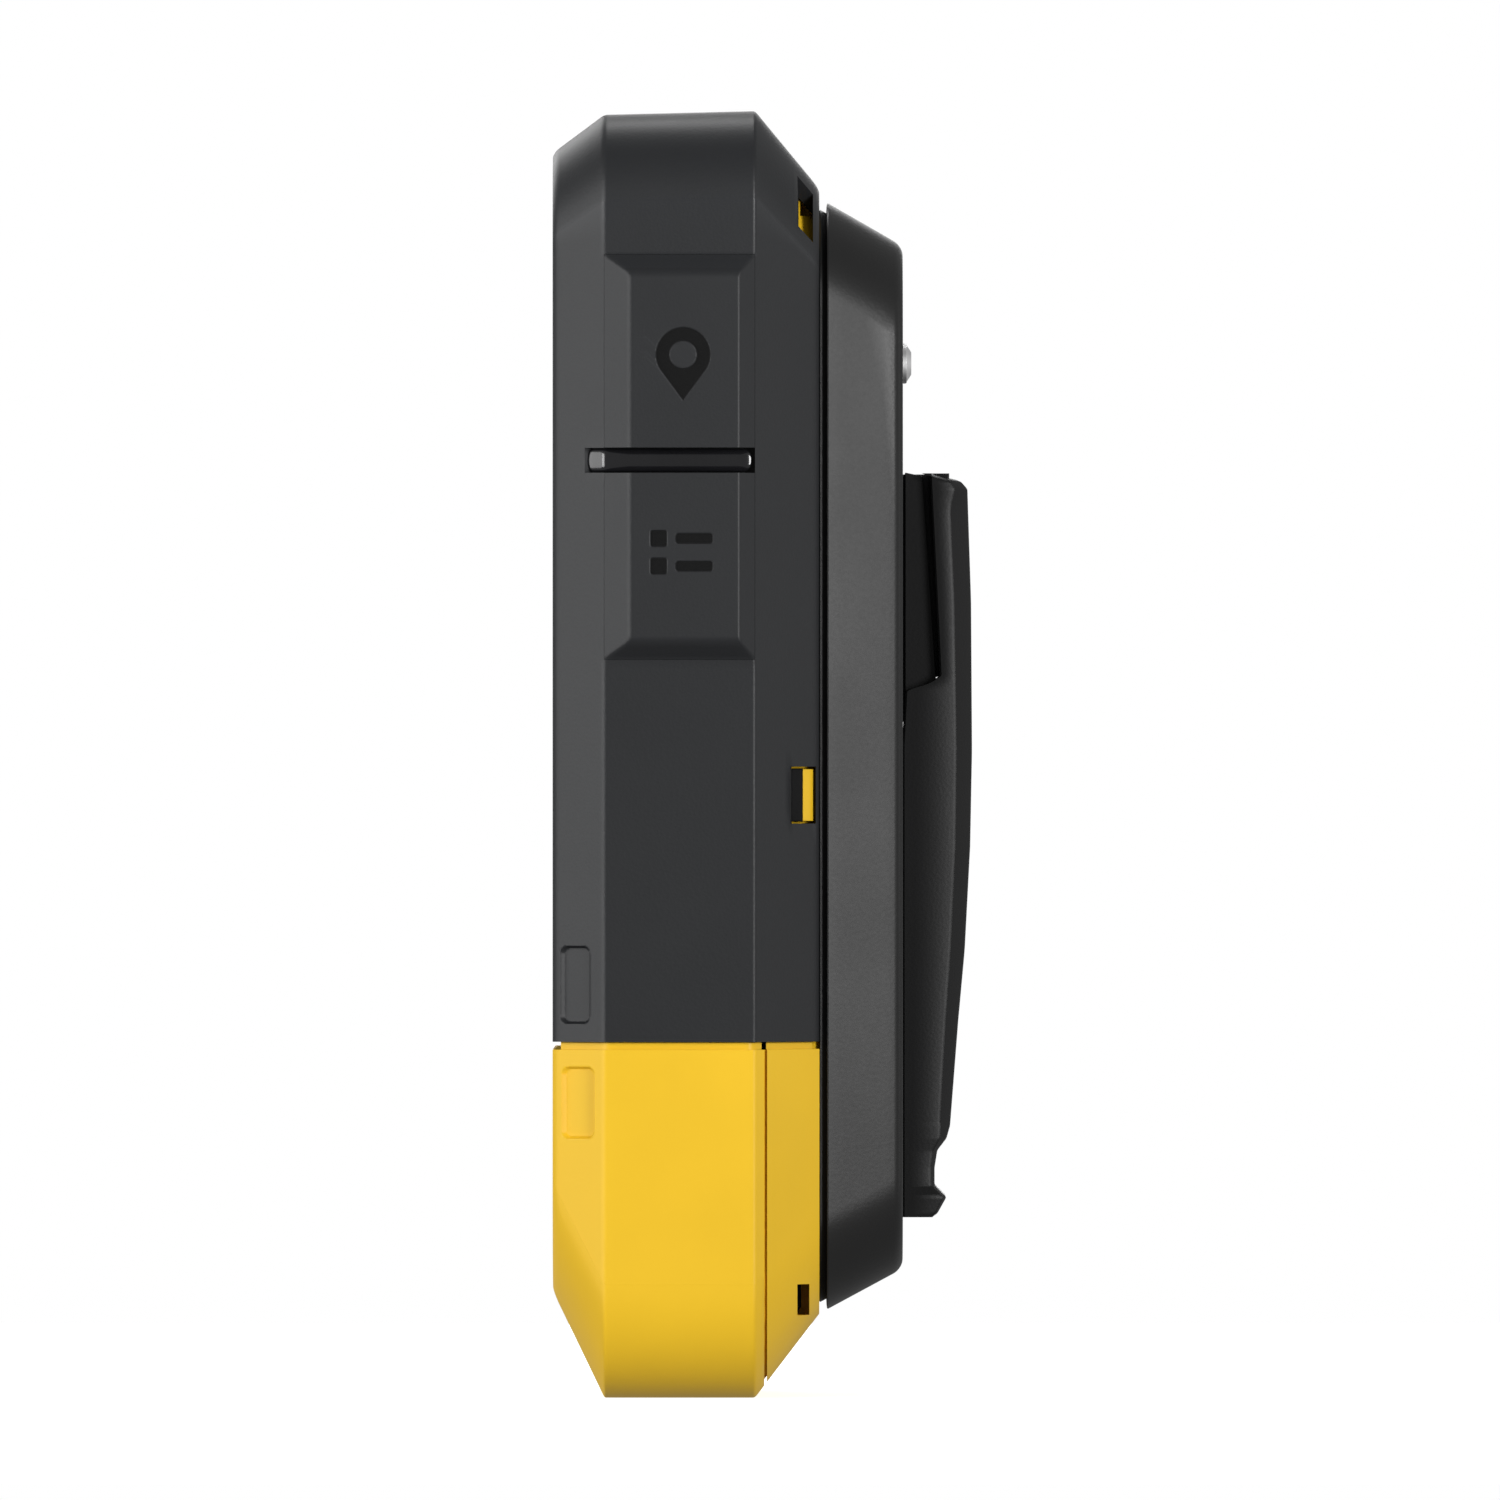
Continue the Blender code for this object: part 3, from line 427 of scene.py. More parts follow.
class Finish:
    """One material: a Principled shader, and whatever nodes feed its sockets."""

    def __init__(self, name, **constants):
        self.material = bpy.data.materials.new(name)
        self.material.use_nodes = True
        self.tree = self.material.node_tree
        self.shader = self.tree.nodes["Principled BSDF"]
        for socket, value in constants.items():
            self.shader.inputs[socket.replace("_", " ").title().replace("Ior", "IOR")].default_value = value

    def node(self, kind, settings=None, output=0, **sockets):
        """Adds a node, sets its settings, then fills its sockets, named s0, s1 or by their own names."""
        made = self.tree.nodes.new(kind)
        for name, value in (settings or {}).items():
            setattr(made, name, value)
        for name, value in sockets.items():
            target = made.inputs[int(name[1:])] if name[1:].isdigit() else made.inputs[name.replace("_", " ")]
            feed(self.tree, target, value)
        return Value(self.tree, made.outputs[output])

    def place(self):
        return self.node("ShaderNodeTexCoord", output=3)

    def noise(self, size_mm, detail=2.0, stretch=(1, 1, 1)):
        """Noise from 0 to 1 with features of about size_mm."""
        turned = self.node("ShaderNodeMapping", Vector=self.place(), Scale=stretch)
        return self.node("ShaderNodeTexNoise", Vector=turned, Scale=1 / (size_mm * MM), Detail=detail)

    def cells(self, size_mm):
        """Distance to the nearest of scattered points about size_mm apart, for a spark-eroded grain."""
        return self.node("ShaderNodeTexVoronoi", Vector=self.place(), Scale=1 / (size_mm * MM))

    def axes(self):
        """The three object coordinates in millimetres."""
        made = self.tree.nodes.new("ShaderNodeSeparateXYZ")
        feed(self.tree, made.inputs[0], self.place())
        return [Value(self.tree, socket) * (1 / MM) for socket in made.outputs]

    def worn_edge(self, start=0.53, end=0.62):
        """1 on outward edges and 0 on flat and hollow places."""
        pointed = self.node("ShaderNodeNewGeometry", output=7)
        return ((pointed - start) * (1 / (end - start))).limited()

    def between(self, share, first, second):
        """A colour from first to second by a share from 0 to 1."""
        return self.node("ShaderNodeMix", {"data_type": "RGBA"}, 2, s0=share, s6=first, s7=second)

    def paint(
        self, colour=None, roughness=None, metallic=None, coat=None, bump=None, strength=0.3, deep_mm=0.02
    ):
        """Feeds the shader's sockets, and the bump through a Bump node."""
        targets = {"Base Color": colour, "Roughness": roughness, "Metallic": metallic, "Coat Weight": coat}
        for socket, value in targets.items():
            if value is not None:
                feed(self.tree, self.shader.inputs[socket], value)
        if bump is not None:
            normal = self.node("ShaderNodeBump", Strength=strength, Distance=deep_mm * MM, Height=bump)
            feed(self.tree, self.shader.inputs["Normal"], normal)
        return self.material


def rgb(red, green, blue):
    return (red, green, blue, 1.0)


def shade(colour, factor):
    return tuple(channel * factor for channel in colour[:3]) + (1.0,)


def moulded(name, colour, roughness, grain_mm=0.35, strength=0.25, wear=0.35, specular=0.5):
    """Spark-textured moulded plastic: fine cells in the bump, cloudy colour, paler smooth worn edges."""
    finish = Finish(name, specular_ior_level=specular)
    cloud = finish.noise(14, 3)
    fine = finish.noise(grain_mm, 2)
    edge = finish.worn_edge()
    tone = finish.between(cloud, shade(colour, 0.94), shade(colour, 1.06))
    tone = finish.between(edge * wear, tone, shade(colour, 1.9))
    rough = roughness - 0.05 + 0.06 * cloud + 0.05 * fine - 0.08 * edge
    bump = finish.cells(grain_mm) + 0.5 * fine
    return finish.paint(tone, rough, bump=bump, strength=strength, deep_mm=0.03)


def soft_key_rubber(name, colour):
    """Soft-touch key: the sleeve's finish, with the sunken sign darker and rougher by its attribute."""
    finish = Finish(name, specular_ior_level=SPECULAR)
    cloud = finish.noise(14, 3)
    fine = finish.noise(0.3, 2)
    sign = finish.node("ShaderNodeAttribute", {"attribute_name": "sign"}, 2)
    edge = finish.worn_edge()
    tone = finish.between(cloud, shade(colour, 0.94), shade(colour, 1.06))
    tone = finish.between(edge * 0.25, tone, shade(colour, 1.8))
    tone = finish.between(sign, tone, shade(colour, 0.05))
    rough = GREY_ROUGHNESS - 0.03 + 0.06 * cloud + 0.05 * fine + 0.45 * sign
    bump = finish.cells(0.35) + 0.5 * fine
    return finish.paint(tone, rough, bump=bump, strength=0.22, deep_mm=0.03)


def gloss_plastic(name, colour, roughness=0.12):
    """Polished black plastic with faint haze, dust and hairline scratches."""
    finish = Finish(name, coat_weight=0.3, coat_roughness=0.05)
    haze = finish.noise(6, 4)
    scratch = finish.noise(0.5, 2, (1, 1, 14))
    tone = finish.between(haze, shade(colour, 0.8), shade(colour, 1.3))
    return finish.paint(tone, roughness + 0.08 * haze, bump=scratch, strength=0.05, deep_mm=0.01)


def display_glass(name):
    """Dark display behind glass: a black printed border, and a screen with the faint grid of its cells."""
    finish = Finish(name, coat_weight=0.6, coat_roughness=0.02)
    width, _, height = finish.axes()
    smudge = finish.noise(22, 4)
    across = width.math("ABSOLUTE", width)
    up = (height - 88.0).math("ABSOLUTE", height - 88.0)
    screen = (across < 27.0) * (up < 36.0)
    cell = (width.wrapped(0.24) < 0.05) + (height.wrapped(0.24) < 0.05)
    screen_tone = finish.between(cell.limited(), rgb(0.020, 0.024, 0.026), rgb(0.011, 0.013, 0.014))
    tone = finish.between(screen, rgb(0.004, 0.004, 0.005), screen_tone)
    return finish.paint(tone, 0.06 + 0.05 * smudge + 0.05 * screen, bump=smudge, strength=0.02, deep_mm=0.05)


def rolled_metal(name, colour, roughness, stretch=(1, 1, 12)):
    """Machined or rolled metal: brushed streaks in roughness and bump, with brighter rubbed edges."""
    finish = Finish(name)
    streak = finish.noise(0.8, 3, stretch)
    stain = finish.noise(5, 3)
    edge = finish.worn_edge()
    tone = finish.between(stain, shade(colour, 0.86), shade(colour, 1.04))
    tone = finish.between(edge * 0.5, tone, shade(colour, 1.2))
    finish.shader.inputs["Metallic"].default_value = 1.0
    return finish.paint(tone, roughness - 0.06 + 0.14 * streak, bump=streak, strength=0.12, deep_mm=0.01)


def rubber(name, colour):
    """Matt moulded rubber with fine pores and a dusty bloom."""
    finish = Finish(name, specular_ior_level=0.35, sheen_weight=0.1)
    bloom = finish.noise(3, 4)
    pores = finish.cells(0.4)
    tone = finish.between(bloom, shade(colour, 0.85), shade(colour, 1.25))
    return finish.paint(tone, 0.72 + 0.12 * bloom, bump=pores, strength=0.3, deep_mm=0.03)


def circuit_board(name):
    """Green solder mask over a lattice of copper tracks, with tinned pads and the weave of the laminate."""
    finish = Finish(name, specular_ior_level=0.5)
    width, depth, height = finish.axes()
    drift = finish.noise(4, 1)
    track_u = (width + 3 * drift).wrapped(1.27) < 0.45
    track_v = (height + 3 * drift).wrapped(1.9) < 0.4
    region = finish.noise(9, 0) > 0.52
    track = (track_u * region + track_v * (1 - region)).limited()
    pad = (width.wrapped(5.08) < 1.0) * (height.wrapped(3.81) < 0.7)
    mask = finish.between(track, rgb(0.010, 0.085, 0.035), rgb(0.025, 0.16, 0.065))
    tone = finish.between(pad, mask, rgb(0.75, 0.74, 0.70))
    weave = finish.noise(0.5, 1)
    return finish.paint(tone, 0.34 + 0.1 * weave, pad, bump=track + 0.3 * weave, strength=0.4, deep_mm=0.04)


def fired_ceramic(name):
    """Pale patch-antenna ceramic with a silvered face in the middle and a chalky speckle."""
    finish = Finish(name)
    width, _, height = finish.axes()
    speckle = finish.noise(0.6, 3)
    across = width.math("ABSOLUTE", width)
    up = (height - 113.5).math("ABSOLUTE", height - 113.5)
    silver = (across < 10.5) * (up < 10.5)
    clay = finish.between(speckle, rgb(0.50, 0.43, 0.31), rgb(0.66, 0.58, 0.44))
    tone = finish.between(silver, clay, rgb(0.72, 0.72, 0.71))
    return finish.paint(tone, 0.5 - 0.15 * silver + 0.1 * speckle, silver * 0.9, bump=speckle, strength=0.2)


def cell_wrap(name):
    """Shrink-wrapped cell: dark body, copper-coloured upper band and bare metal at both ends."""
    finish = Finish(name, coat_weight=0.5, coat_roughness=0.1)
    _, _, height = finish.axes()
    grain = finish.noise(1.2, 3)
    band = height > 66.0
    bare = ((height > 80.4) + (height < 31.9)).limited()
    tone = finish.between(band, rgb(0.018, 0.018, 0.020), rgb(0.56, 0.24, 0.07))
    tone = finish.between(bare, tone, rgb(0.70, 0.70, 0.70))
    metal = (bare + band * 0.7).limited()
    return finish.paint(tone, 0.28 + 0.12 * grain, metal, bump=grain, strength=0.06, deep_mm=0.02)


GREY_ROUGHNESS = 0.44
SPECULAR = 0.3
SLEEVE_GREY = rgb(0.0140, 0.0148, 0.0163)
COVER_GREY = rgb(0.0150, 0.0150, 0.0150)
CLIP_BLACK = rgb(0.0090, 0.0090, 0.0092)
YELLOW = rgb(0.80, 0.49, 0.020)


def make_finishes():
    return {
        "sleeve_grey": moulded("sleeve_grey_rubber", SLEEVE_GREY, GREY_ROUGHNESS, specular=SPECULAR),
        "key_grey": soft_key_rubber("key_grey_rubber", SLEEVE_GREY),
        "housing_yellow": moulded("housing_yellow_plastic", YELLOW, 0.42, 0.4, 0.2, 0.0, specular=0.2),
        "cover_grey": moulded("cover_grey_plastic", COVER_GREY, 0.40, 0.4, 0.22, 0.25, 0.2),
        "black_plastic": moulded("clip_black_plastic", CLIP_BLACK, 0.38, 0.35, 0.18, 0.3, 0.15),
        "gloss_black": gloss_plastic("gloss_black_plastic", rgb(0.006, 0.006, 0.007)),
        "lens_glass": display_glass("display_lens_glass"),
        "display_glass": gloss_plastic("display_panel_glass", rgb(0.010, 0.012, 0.013), 0.2),
        "rubber": rubber("seal_rubber", rgb(0.016, 0.016, 0.017)),
        "board_green": circuit_board("circuit_board_green"),
        "ceramic": fired_ceramic("antenna_ceramic"),
        "stud_metal": rolled_metal("stud_plated_metal", rgb(0.80, 0.80, 0.80), 0.52),
        "bright_metal": rolled_metal("bright_plated_metal", rgb(0.62, 0.62, 0.61), 0.30),
        "spring_steel": rolled_metal("spring_steel_wire", rgb(0.42, 0.42, 0.43), 0.32, (1, 1, 1)),
        "brass": rolled_metal("receptacle_brass", rgb(0.70, 0.50, 0.20), 0.34),
        "cell_wrap": cell_wrap("cell_shrink_wrap"),
    }


def dress(obj, finish):
    obj.data.materials.clear()
    obj.data.materials.append(finish)


def fit(obj, body, slot, *nodes):
    """Gives a new piece its finish, the body it moves with, and the CAD nodes that it stands for."""
    dress(obj, FINISHES[slot])
    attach(obj, body)
    if nodes:
        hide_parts(*nodes)
    return obj


# ---- body ----

FLOOR_STEPS, ARC_STEPS = 26, 22  # stations along the floor, and round a corner
SIDE_ROW = 60  # a station on the side; every one has the same depths near the back
PLATE_SHARES = (0.0, 0.12, 0.5, 0.88)  # columns from a window's edge over the front face
INNER_WIDEST = 33.2
POCKET_FROM = 25.0  # a pocket is cut only beyond this width
POCKET_STRETCH = 1.23  # the bevel is this much longer than its depth
BEVEL_IN, BEVEL_BACK = 0.814, 0.581  # a step straight into the front bevel


def cell_centres(grid):
    return (grid[:-1, :-1] + grid[1:, :-1] + grid[1:, 1:] + grid[:-1, 1:]) / 4


def pocket(depth, height, place):
    """1 in the floor of a shallow rounded pocket, 0 outside it, with steep drafted walls."""
    (near, far), (low, high) = place
    u = (depth - (near + far) / 2) * POCKET_STRETCH
    v = height - (low + high) / 2
    distance = rounded_box(u, v, (far - near) / 2 * POCKET_STRETCH, (high - low) / 2, 0.8)
    return 1 - smooth_step(distance, -0.16, 0.16)


def sink(width, depth, amount):
    """Moves points in across the front bevel by an amount."""
    return width - BEVEL_IN * amount, depth + BEVEL_BACK * amount


def body_shell(name, depths, heights, window, wall, pocket_place, low=None, high=None, kept=None):
    """Shell of the body's form.

    Its outline at each depth, mirrored, is carried from a window's edge over the front face, the bevels
    and the side to its back edge. The inside is the same form moved in by the wall.
    """
    front, back = depths[0], depths[-1]
    steps = dict(heights=heights, floor_steps=FLOOR_STEPS, arc_steps=ARC_STEPS, low=low, high=high)
    loss = edge_loss(depths, 0.0, BACK_FACE)[None, :]
    width, height = half_outline(depths, 0.0, loss, **steps)
    inner_depths = wall + (depths - front) * (back - wall) / (back - front)
    inner_width, inner_height = half_outline(inner_depths, wall, 0.0, **steps)
    inner_width = np.minimum(inner_width, INNER_WIDEST)
    sunk = POCKET_DEEP * pocket(depths[None, :], height, pocket_place) * (width > POCKET_FROM)
    width, depth = sink(width, depths[None, :] + 0 * width, sunk)
    grids = []
    for grid_width, grid_depth, grid_height in (
        (width, depth, height),
        (inner_width, inner_depths[None, :] + 0 * inner_width, inner_height),
    ):
        edge_width, edge_height = onto_window(width[:, :1], height[:, :1], **window)
        shares = np.array(PLATE_SHARES)[None, :]
        plate_width = edge_width + (grid_width[:, :1] - edge_width) * shares
        plate_height = edge_height + (grid_height[:, :1] - edge_height) * shares
        plate_depth = np.broadcast_to(grid_depth[:, :1], plate_width.shape)
        grids.append(
            world(
                np.concatenate([plate_width, grid_width], axis=1),
                np.concatenate([plate_depth, grid_depth], axis=1),
                np.concatenate([plate_height, grid_height], axis=1),
            )
        )
    plate_columns = shares.size
    middle_depth = cell_centres(np.concatenate([np.zeros_like(plate_width) - 1, depth], axis=1))
    middle_height = cell_centres(np.concatenate([plate_height * 0 + height[:, :1], height], axis=1))
    right, left = kept(middle_depth, middle_height, plate_columns)
    outer, inner = (mirrored(grid) for grid in grids)
    return sheet_solid(name, outer, inner, both_sides(right, left), closed=True)


def merged_stops(*runs):
    """Grid positions from several runs, in order and each once."""
    return np.unique(np.concatenate(runs).round(4))


def eased(size, count):
    """Positions from 0 to size, closest together at 0, as round a quarter circle."""
    return size * (1 - np.cos(np.linspace(0, math.pi / 2, count)))


def within(depth, height, place):
    (near, far), (low, high) = place
    return (depth > near) & (depth < far) & (height > low) & (height < high)


def make_sleeve():
    """Grey sleeve: open at the bottom and the back, with openings for the display, the pads, the groove,
    the snap hooks and the lanyard slots."""
    depths = merged_stops(
        eased(EDGE_DEEP, 7),
        spaced(0.7, 0.14, 4.3, 0.35, 5.0, 0.1, 6.2, 0.9, 21.2, 0.1, 22.6, 0.6, 25.8, 0.4, 28.6),
        [3.5, PAD_FRONT, PAD_BACK, *LANYARD_SLOT[0]],
        BACK_FACE - eased(0.35, 4),
    )
    below = spaced(SLEEVE_LOW, 0.2, 39.2, 0.4, 40.6, 0.14, 49.4, 1.6, 62.5, 1.5, 68.7, 2.0, 78.7, 0.5, 79.7)
    beside = spaced(
        PAD_LOW, 0.14, 83.1, 2.5, GROOVE_LOW, 0.9, GROOVE_HIGH, 2.5, 121.6, 0.14, PAD_HIGH, 0.2, 125.0
    )
    heights = np.concatenate([below, beside])
    lanyard_depth = sum(LANYARD_SLOT[0]) / 2

    def kept(depth, height, plate_columns):
        columns = np.arange(depth.shape[1])
        stretch = np.arange(depth.shape[0])[:, None] < FLOOR_STEPS
        solid = ~stretch | (columns < plate_columns)
        solid = solid & ~within(depth, height, SNAP_WINDOW)
        solid &= ~within(depth, height, ((PAD_FRONT, PAD_BACK), (PAD_LOW, PAD_HIGH)))
        nearest = np.argmin(np.abs(depth[SIDE_ROW] - lanyard_depth))
        row_height = height[:, nearest : nearest + 1]
        solid &= ~within(depth, row_height + 0 * depth, LANYARD_SLOT)
        groove = within(depth, height, ((3.5, PAD_FRONT), (GROOVE_LOW, GROOVE_HIGH)))
        return solid & ~groove, solid

    window = dict(LENS, half=LENS["half"] + 0.12, low=LENS["low"] - 0.12, high=LENS["high"] + 0.12)
    obj = body_shell(
        "sleeve_shell", depths, heights, window, SLEEVE_WALL, SLEEVE_POCKET, low=SLEEVE_LOW, kept=kept
    )
    fit(bevelled(obj, 0.1, 1, 60), "casing", "sleeve_grey", "armour_sleeve")


def make_front_housing():
    """Yellow lower body in front of the seam, with a window for the key and speaker panel, and the pieces
    that go with it: the neck, the tongue and the panel."""
    depths = merged_stops(
        eased(EDGE_DEEP, 7), spaced(0.7, 0.14, 4.7, 0.3, 5.0, 0.1, 6.2, 0.9, 21.2, 0.1, 22.6, 0.4, SEAM)
    )
    heights = spaced(24.0, 1.0, 28.0, 0.14, 36.4, 0.5, YELLOW_HIGH)

    def kept(depth, height, plate_columns):
        columns = np.arange(depth.shape[1])
        stretch = np.arange(depth.shape[0])[:, None] >= depth.shape[0] - FLOOR_STEPS
        solid = ~stretch | (columns < plate_columns)
        return solid, solid

    obj = body_shell("front_shell", depths, heights, PANEL, 2.0, YELLOW_POCKET, high=YELLOW_HIGH, kept=kept)
    fit(bevelled(obj, 0.22, 2, 60), "casing", "housing_yellow", "front_housing")
    make_neck()
    make_seam_tongue()
    make_panel()


def make_neck():
    """Yellow neck under the sleeve, a wall each side: the body's side form, stepping in at the sleeve."""
    depths = spaced(0.9, 0.5, 22.7, 0.5, 28.2)
    rows = np.array([37.2, 38.7, 38.7, 41.0])
    insets = np.array([0.75, 0.75, 1.95, 1.95])
    width = reach(SIDE, depths[None, :], insets[:, None])
    right = world(width, depths[None, :], rows[:, None])
    wall, gap_front, gap_back = 1.1, 22.3, 23.2
    inside = world(width - wall, depths[None, :], rows[:, None])
    kept = np.ones((3, len(depths) - 1), bool)
    kept[:, (depths[:-1] > gap_front) & (depths[:-1] < gap_back)] = False
    for name, sign in (("right", 1), ("left", -1)):
        side = np.array([sign, 1, 1])
        fit(sheet_solid(f"{name}_neck", right * side, inside * side, kept), "casing", "housing_yellow")


def make_seam_tongue():
    """Yellow tongue under the seam between the two housing halves, following the lower body's outline."""
    depths = np.array([22.2, 22.6, 23.5, 24.0])
    heights = spaced(24.0, 2.0, YELLOW_HIGH)
    steps = dict(heights=heights, floor_steps=FLOOR_STEPS, arc_steps=ARC_STEPS, high=YELLOW_HIGH)
    outer, inner = (half_outline(depths, inset, 0.0, **steps) for inset in (0.42, 1.6))
    grids = [mirrored(world(width, depths[None, :], height)) for width, height in (outer, inner)]
    fit(sheet_solid("seam_tongue", *grids, closed=True), "casing", "housing_yellow")


BACKINGS = (
    # name, outer face's width, (depths), (heights), finish, thickness
    ("key_membrane", 32.4, (4.6, 23.2), (79.0, 125.6), "rubber", 0.35),
    ("snap_backing", 23.0, (24.6, 28.8), (61.5, 69.8), "black_plastic", 0.6),
    # snap_shade_block: a black block sunk in each snap window over the hook's ramp, painted shade standing in
    # for the window's shadow
    ("snap_shade_block", 28.0, (25.9, 27.3), (62.7, 68.5), "black_plastic", 1.5),
    ("upper_slot_backing", 17.2, (25.0, 28.4), (125.0, 130.6), "black_plastic", 0.6),
    ("lower_slot_backing", 16.4, (25.2, 27.9), (9.4, 13.8), "black_plastic", 0.6),
)


def make_backing(name, width, depths, heights, slot, thick):
    """Upright plates inside the body, one each side, that close off what is behind an opening."""
    across, up = spaced(depths[0], 2.0, depths[1]), spaced(heights[0], 4.0, heights[1])
    grid_depth, grid_height = np.meshgrid(across, up)
    for side, word in ((1, "right"), (-1, "left")):
        outer = world(side * width, grid_depth, grid_height)
        inner = world(side * (width - thick), grid_depth, grid_height)
        plate = sheet_solid(f"{word}_{name}", outer, inner)
        fit(bevelled(plate, 0.15, 2), "casing", slot)


def make_backings():
    for backing in BACKINGS:
        make_backing(*backing)


def stretched(u, inner, outer, edge):
    """Widths that stay put up to inner, and stretch from inner to the given edge beyond it."""
    beyond = np.maximum(np.abs(u) - inner, 0) / (outer - inner)
    return np.sign(u) * (np.minimum(np.abs(u), inner) + beyond * (edge - inner))


def panel_edge(height, gap):
    """Half width of the key panel at a height, by the circles of its corners."""
    half, low, high = PANEL["half"] - gap, PANEL["low"] + gap, PANEL["high"] - gap
    low_radius, high_radius = PANEL["low_radius"] - gap, PANEL["high_radius"] - gap
    down = np.clip(low + low_radius - height, 0, low_radius)
    up = np.clip(height - high + high_radius, 0, high_radius)
    lower = half - low_radius + np.sqrt(low_radius**2 - down**2)
    upper = half - high_radius + np.sqrt(high_radius**2 - up**2)
    return np.minimum(lower, upper)


def make_panel():
    """Dark panel under the display, with four speaker slots and windows for the two zoom keys."""
    gap, key_gap = 0.1, 0.2
    low, high = PANEL["low"] + gap, PANEL["high"] - gap
    near, far = ZOOM_NEAR - key_gap, ZOOM_FAR + key_gap
    under, over = ZOOM_LOW - key_gap, ZOOM_HIGH + key_gap
    first_slot, pitch, slot_half, slots_high = 15.0, 2.4, 7.0, 23.3
    half, straight_from, fixed = PANEL["half"], 23.7, 18.0
    ease = eased(1.0, 8)
    slots = [first_slot + pitch * row + part for row in range(4) for part in (0.0, 1.0)]
    keys_rows = [under, 30.0, 33.0, 34.0, over]
    rows = merged_stops(low + 1.0 * ease, slots, spaced(23.6, 1.0, under), keys_rows, high - 0.9 * ease)
    columns = np.union1d(spaced(0.0, 1.0, slot_half, 1.0, fixed, 1.0, far, 0.8, half), [near])
    u = np.concatenate([-columns[:0:-1], columns])
    edge = panel_edge(rows, gap)[:, None]
    inner = np.minimum(fixed, edge - 2)
    width = np.where(np.abs(u) <= inner, u, stretched(u[None, :], inner, half, edge))
    upper = np.where(np.abs(u) <= far, u, stretched(u, far, half, edge))
    width = np.where(rows[:, None] > straight_from, upper, width)
    outer = world(width, 0.12, rows[:, None])
    back = world(width, 1.9, rows[:, None])
    centre_u = np.abs((u[:-1] + u[1:]) / 2)[None, :]
    centre_z = ((rows[:-1] + rows[1:]) / 2)[:, None]
    slot = (centre_u < slot_half) & (centre_z > first_slot) & (centre_z < slots_high)
    slot = slot & (np.mod(centre_z - first_slot, pitch) < 1)
    keys = (centre_u > near) & (centre_u < far) & (centre_z > under) & (centre_z < over)
    panel = sheet_solid("key_panel", outer, back, ~(slot | keys))
    fit(bevelled(panel, 0.12, 2, 50), "casing", "sleeve_grey")


# ---- keys ----


def pin_sign(u, v):
    """Distance outside a map pin: a ring whose lower part runs down to a point between its tangents."""
    radius, hole, tip = 2.95, 1.5, 4.95
    tilt = math.asin(radius / tip)
    rise = v + tip
    side = np.abs(u) * math.cos(tilt) - rise * math.sin(tilt)
    along = np.abs(u) * math.sin(tilt) + rise * math.cos(tilt)
    round_part = np.hypot(u, v) - radius
    drop = np.where(along < math.sqrt(tip**2 - radius**2), side, round_part)
    return np.maximum(drop, hole - np.hypot(u, v))


def list_sign(u, v):
    """Distance outside a list: two squares, each with a bar beside it."""
    rows = []
    for level in (1.5, -1.5):
        rows.append(rounded_box(u + 2.55, v - level, 0.88, 0.88, 0.2))
        rows.append(rounded_box(u - 1.3, v - level, 2.0, 0.55, 0.3))
    return np.minimum.reduce(rows)


def power_sign(u, v):
    """Distance outside a power sign: a ring open at the top, with a stroke through the opening."""
    ring = np.abs(np.hypot(u, v) - 2.3) - 0.4
    ring = np.maximum(ring, np.minimum(1.0 - np.abs(u), v))
    return np.minimum(ring, rounded_box(u, v - 1.9, 0.4, 1.5, 0.3))


def minus_sign(u, v):
    return rounded_box(u, v, 1.7, 0.4, 0.2)


def plus_sign(u, v):
    return np.minimum(minus_sign(u, v), minus_sign(v, u))


def no_sign(u, v):
    return np.full(np.broadcast(u, v).shape, 9.0)


def make_pad_key(name, body, node, side, low, high, sign, centre, slot="key_grey"):
    """Key in a raised pad: the pad's surface over depth and height, sunk at its sign, with straight sides."""
    depth_at, height_at = centre
    depths = spaced(
        PAD_FRONT, 0.25, 7.9, 0.07, 8.9, 0.5, 10.2, SIGN_STEP, 18.2, 0.4, 19.8, 0.07, 20.7, 0.2, PAD_BACK
    )
    reach_up = 5.2
    heights = np.concatenate(
        [
            spaced(low, 0.12, low + 2.9, 0.5, height_at - reach_up, SIGN_STEP, height_at + reach_up)[:-1],
            spaced(height_at + reach_up, 0.5, high - 2.9, 0.12, high),
        ]
    )
    depths = np.clip(depths, PAD_FRONT + HAIRLINE, PAD_BACK - HAIRLINE)
    heights = np.clip(heights, low + HAIRLINE, high - HAIRLINE)
    grid_depth, grid_height = np.meshgrid(depths, heights)
    mark = 1 - smooth_step(sign(grid_depth - depth_at, grid_height - height_at), -0.07, 0.07)
    width = side_reach(grid_depth, grid_height) - SIGN_DEEP * mark
    outer = world(side * width, grid_depth, grid_height)
    inner = world(side * (KEY_INNER + 0 * width), grid_depth, grid_height)
    fit(sheet_solid(name, outer, inner, mark=mark), body, slot, node)


def make_side_keys():
    keys = (
        # piece, body, node, side, low, high, sign, the sign's (depth, height)
        ("menu_pad", "menu", "menu_key", 1, PAD_LOW, GROOVE_LOW, list_sign, (14.1, 91.95)),
        ("waypoint_pad", "waypoint", "waypoint_key", 1, GROOVE_HIGH, PAD_HIGH, pin_sign, (14.2, 113.4)),
        ("power_pad", "power", "power_key", -1, GROOVE_HIGH, PAD_HIGH, power_sign, (14.2, 113.6)),
        ("port_flap", "port", "port_cover", -1, PAD_LOW, GROOVE_HIGH - 0.15, no_sign, (14.2, 91.8)),
    )
    for key in keys:
        make_pad_key(*key)


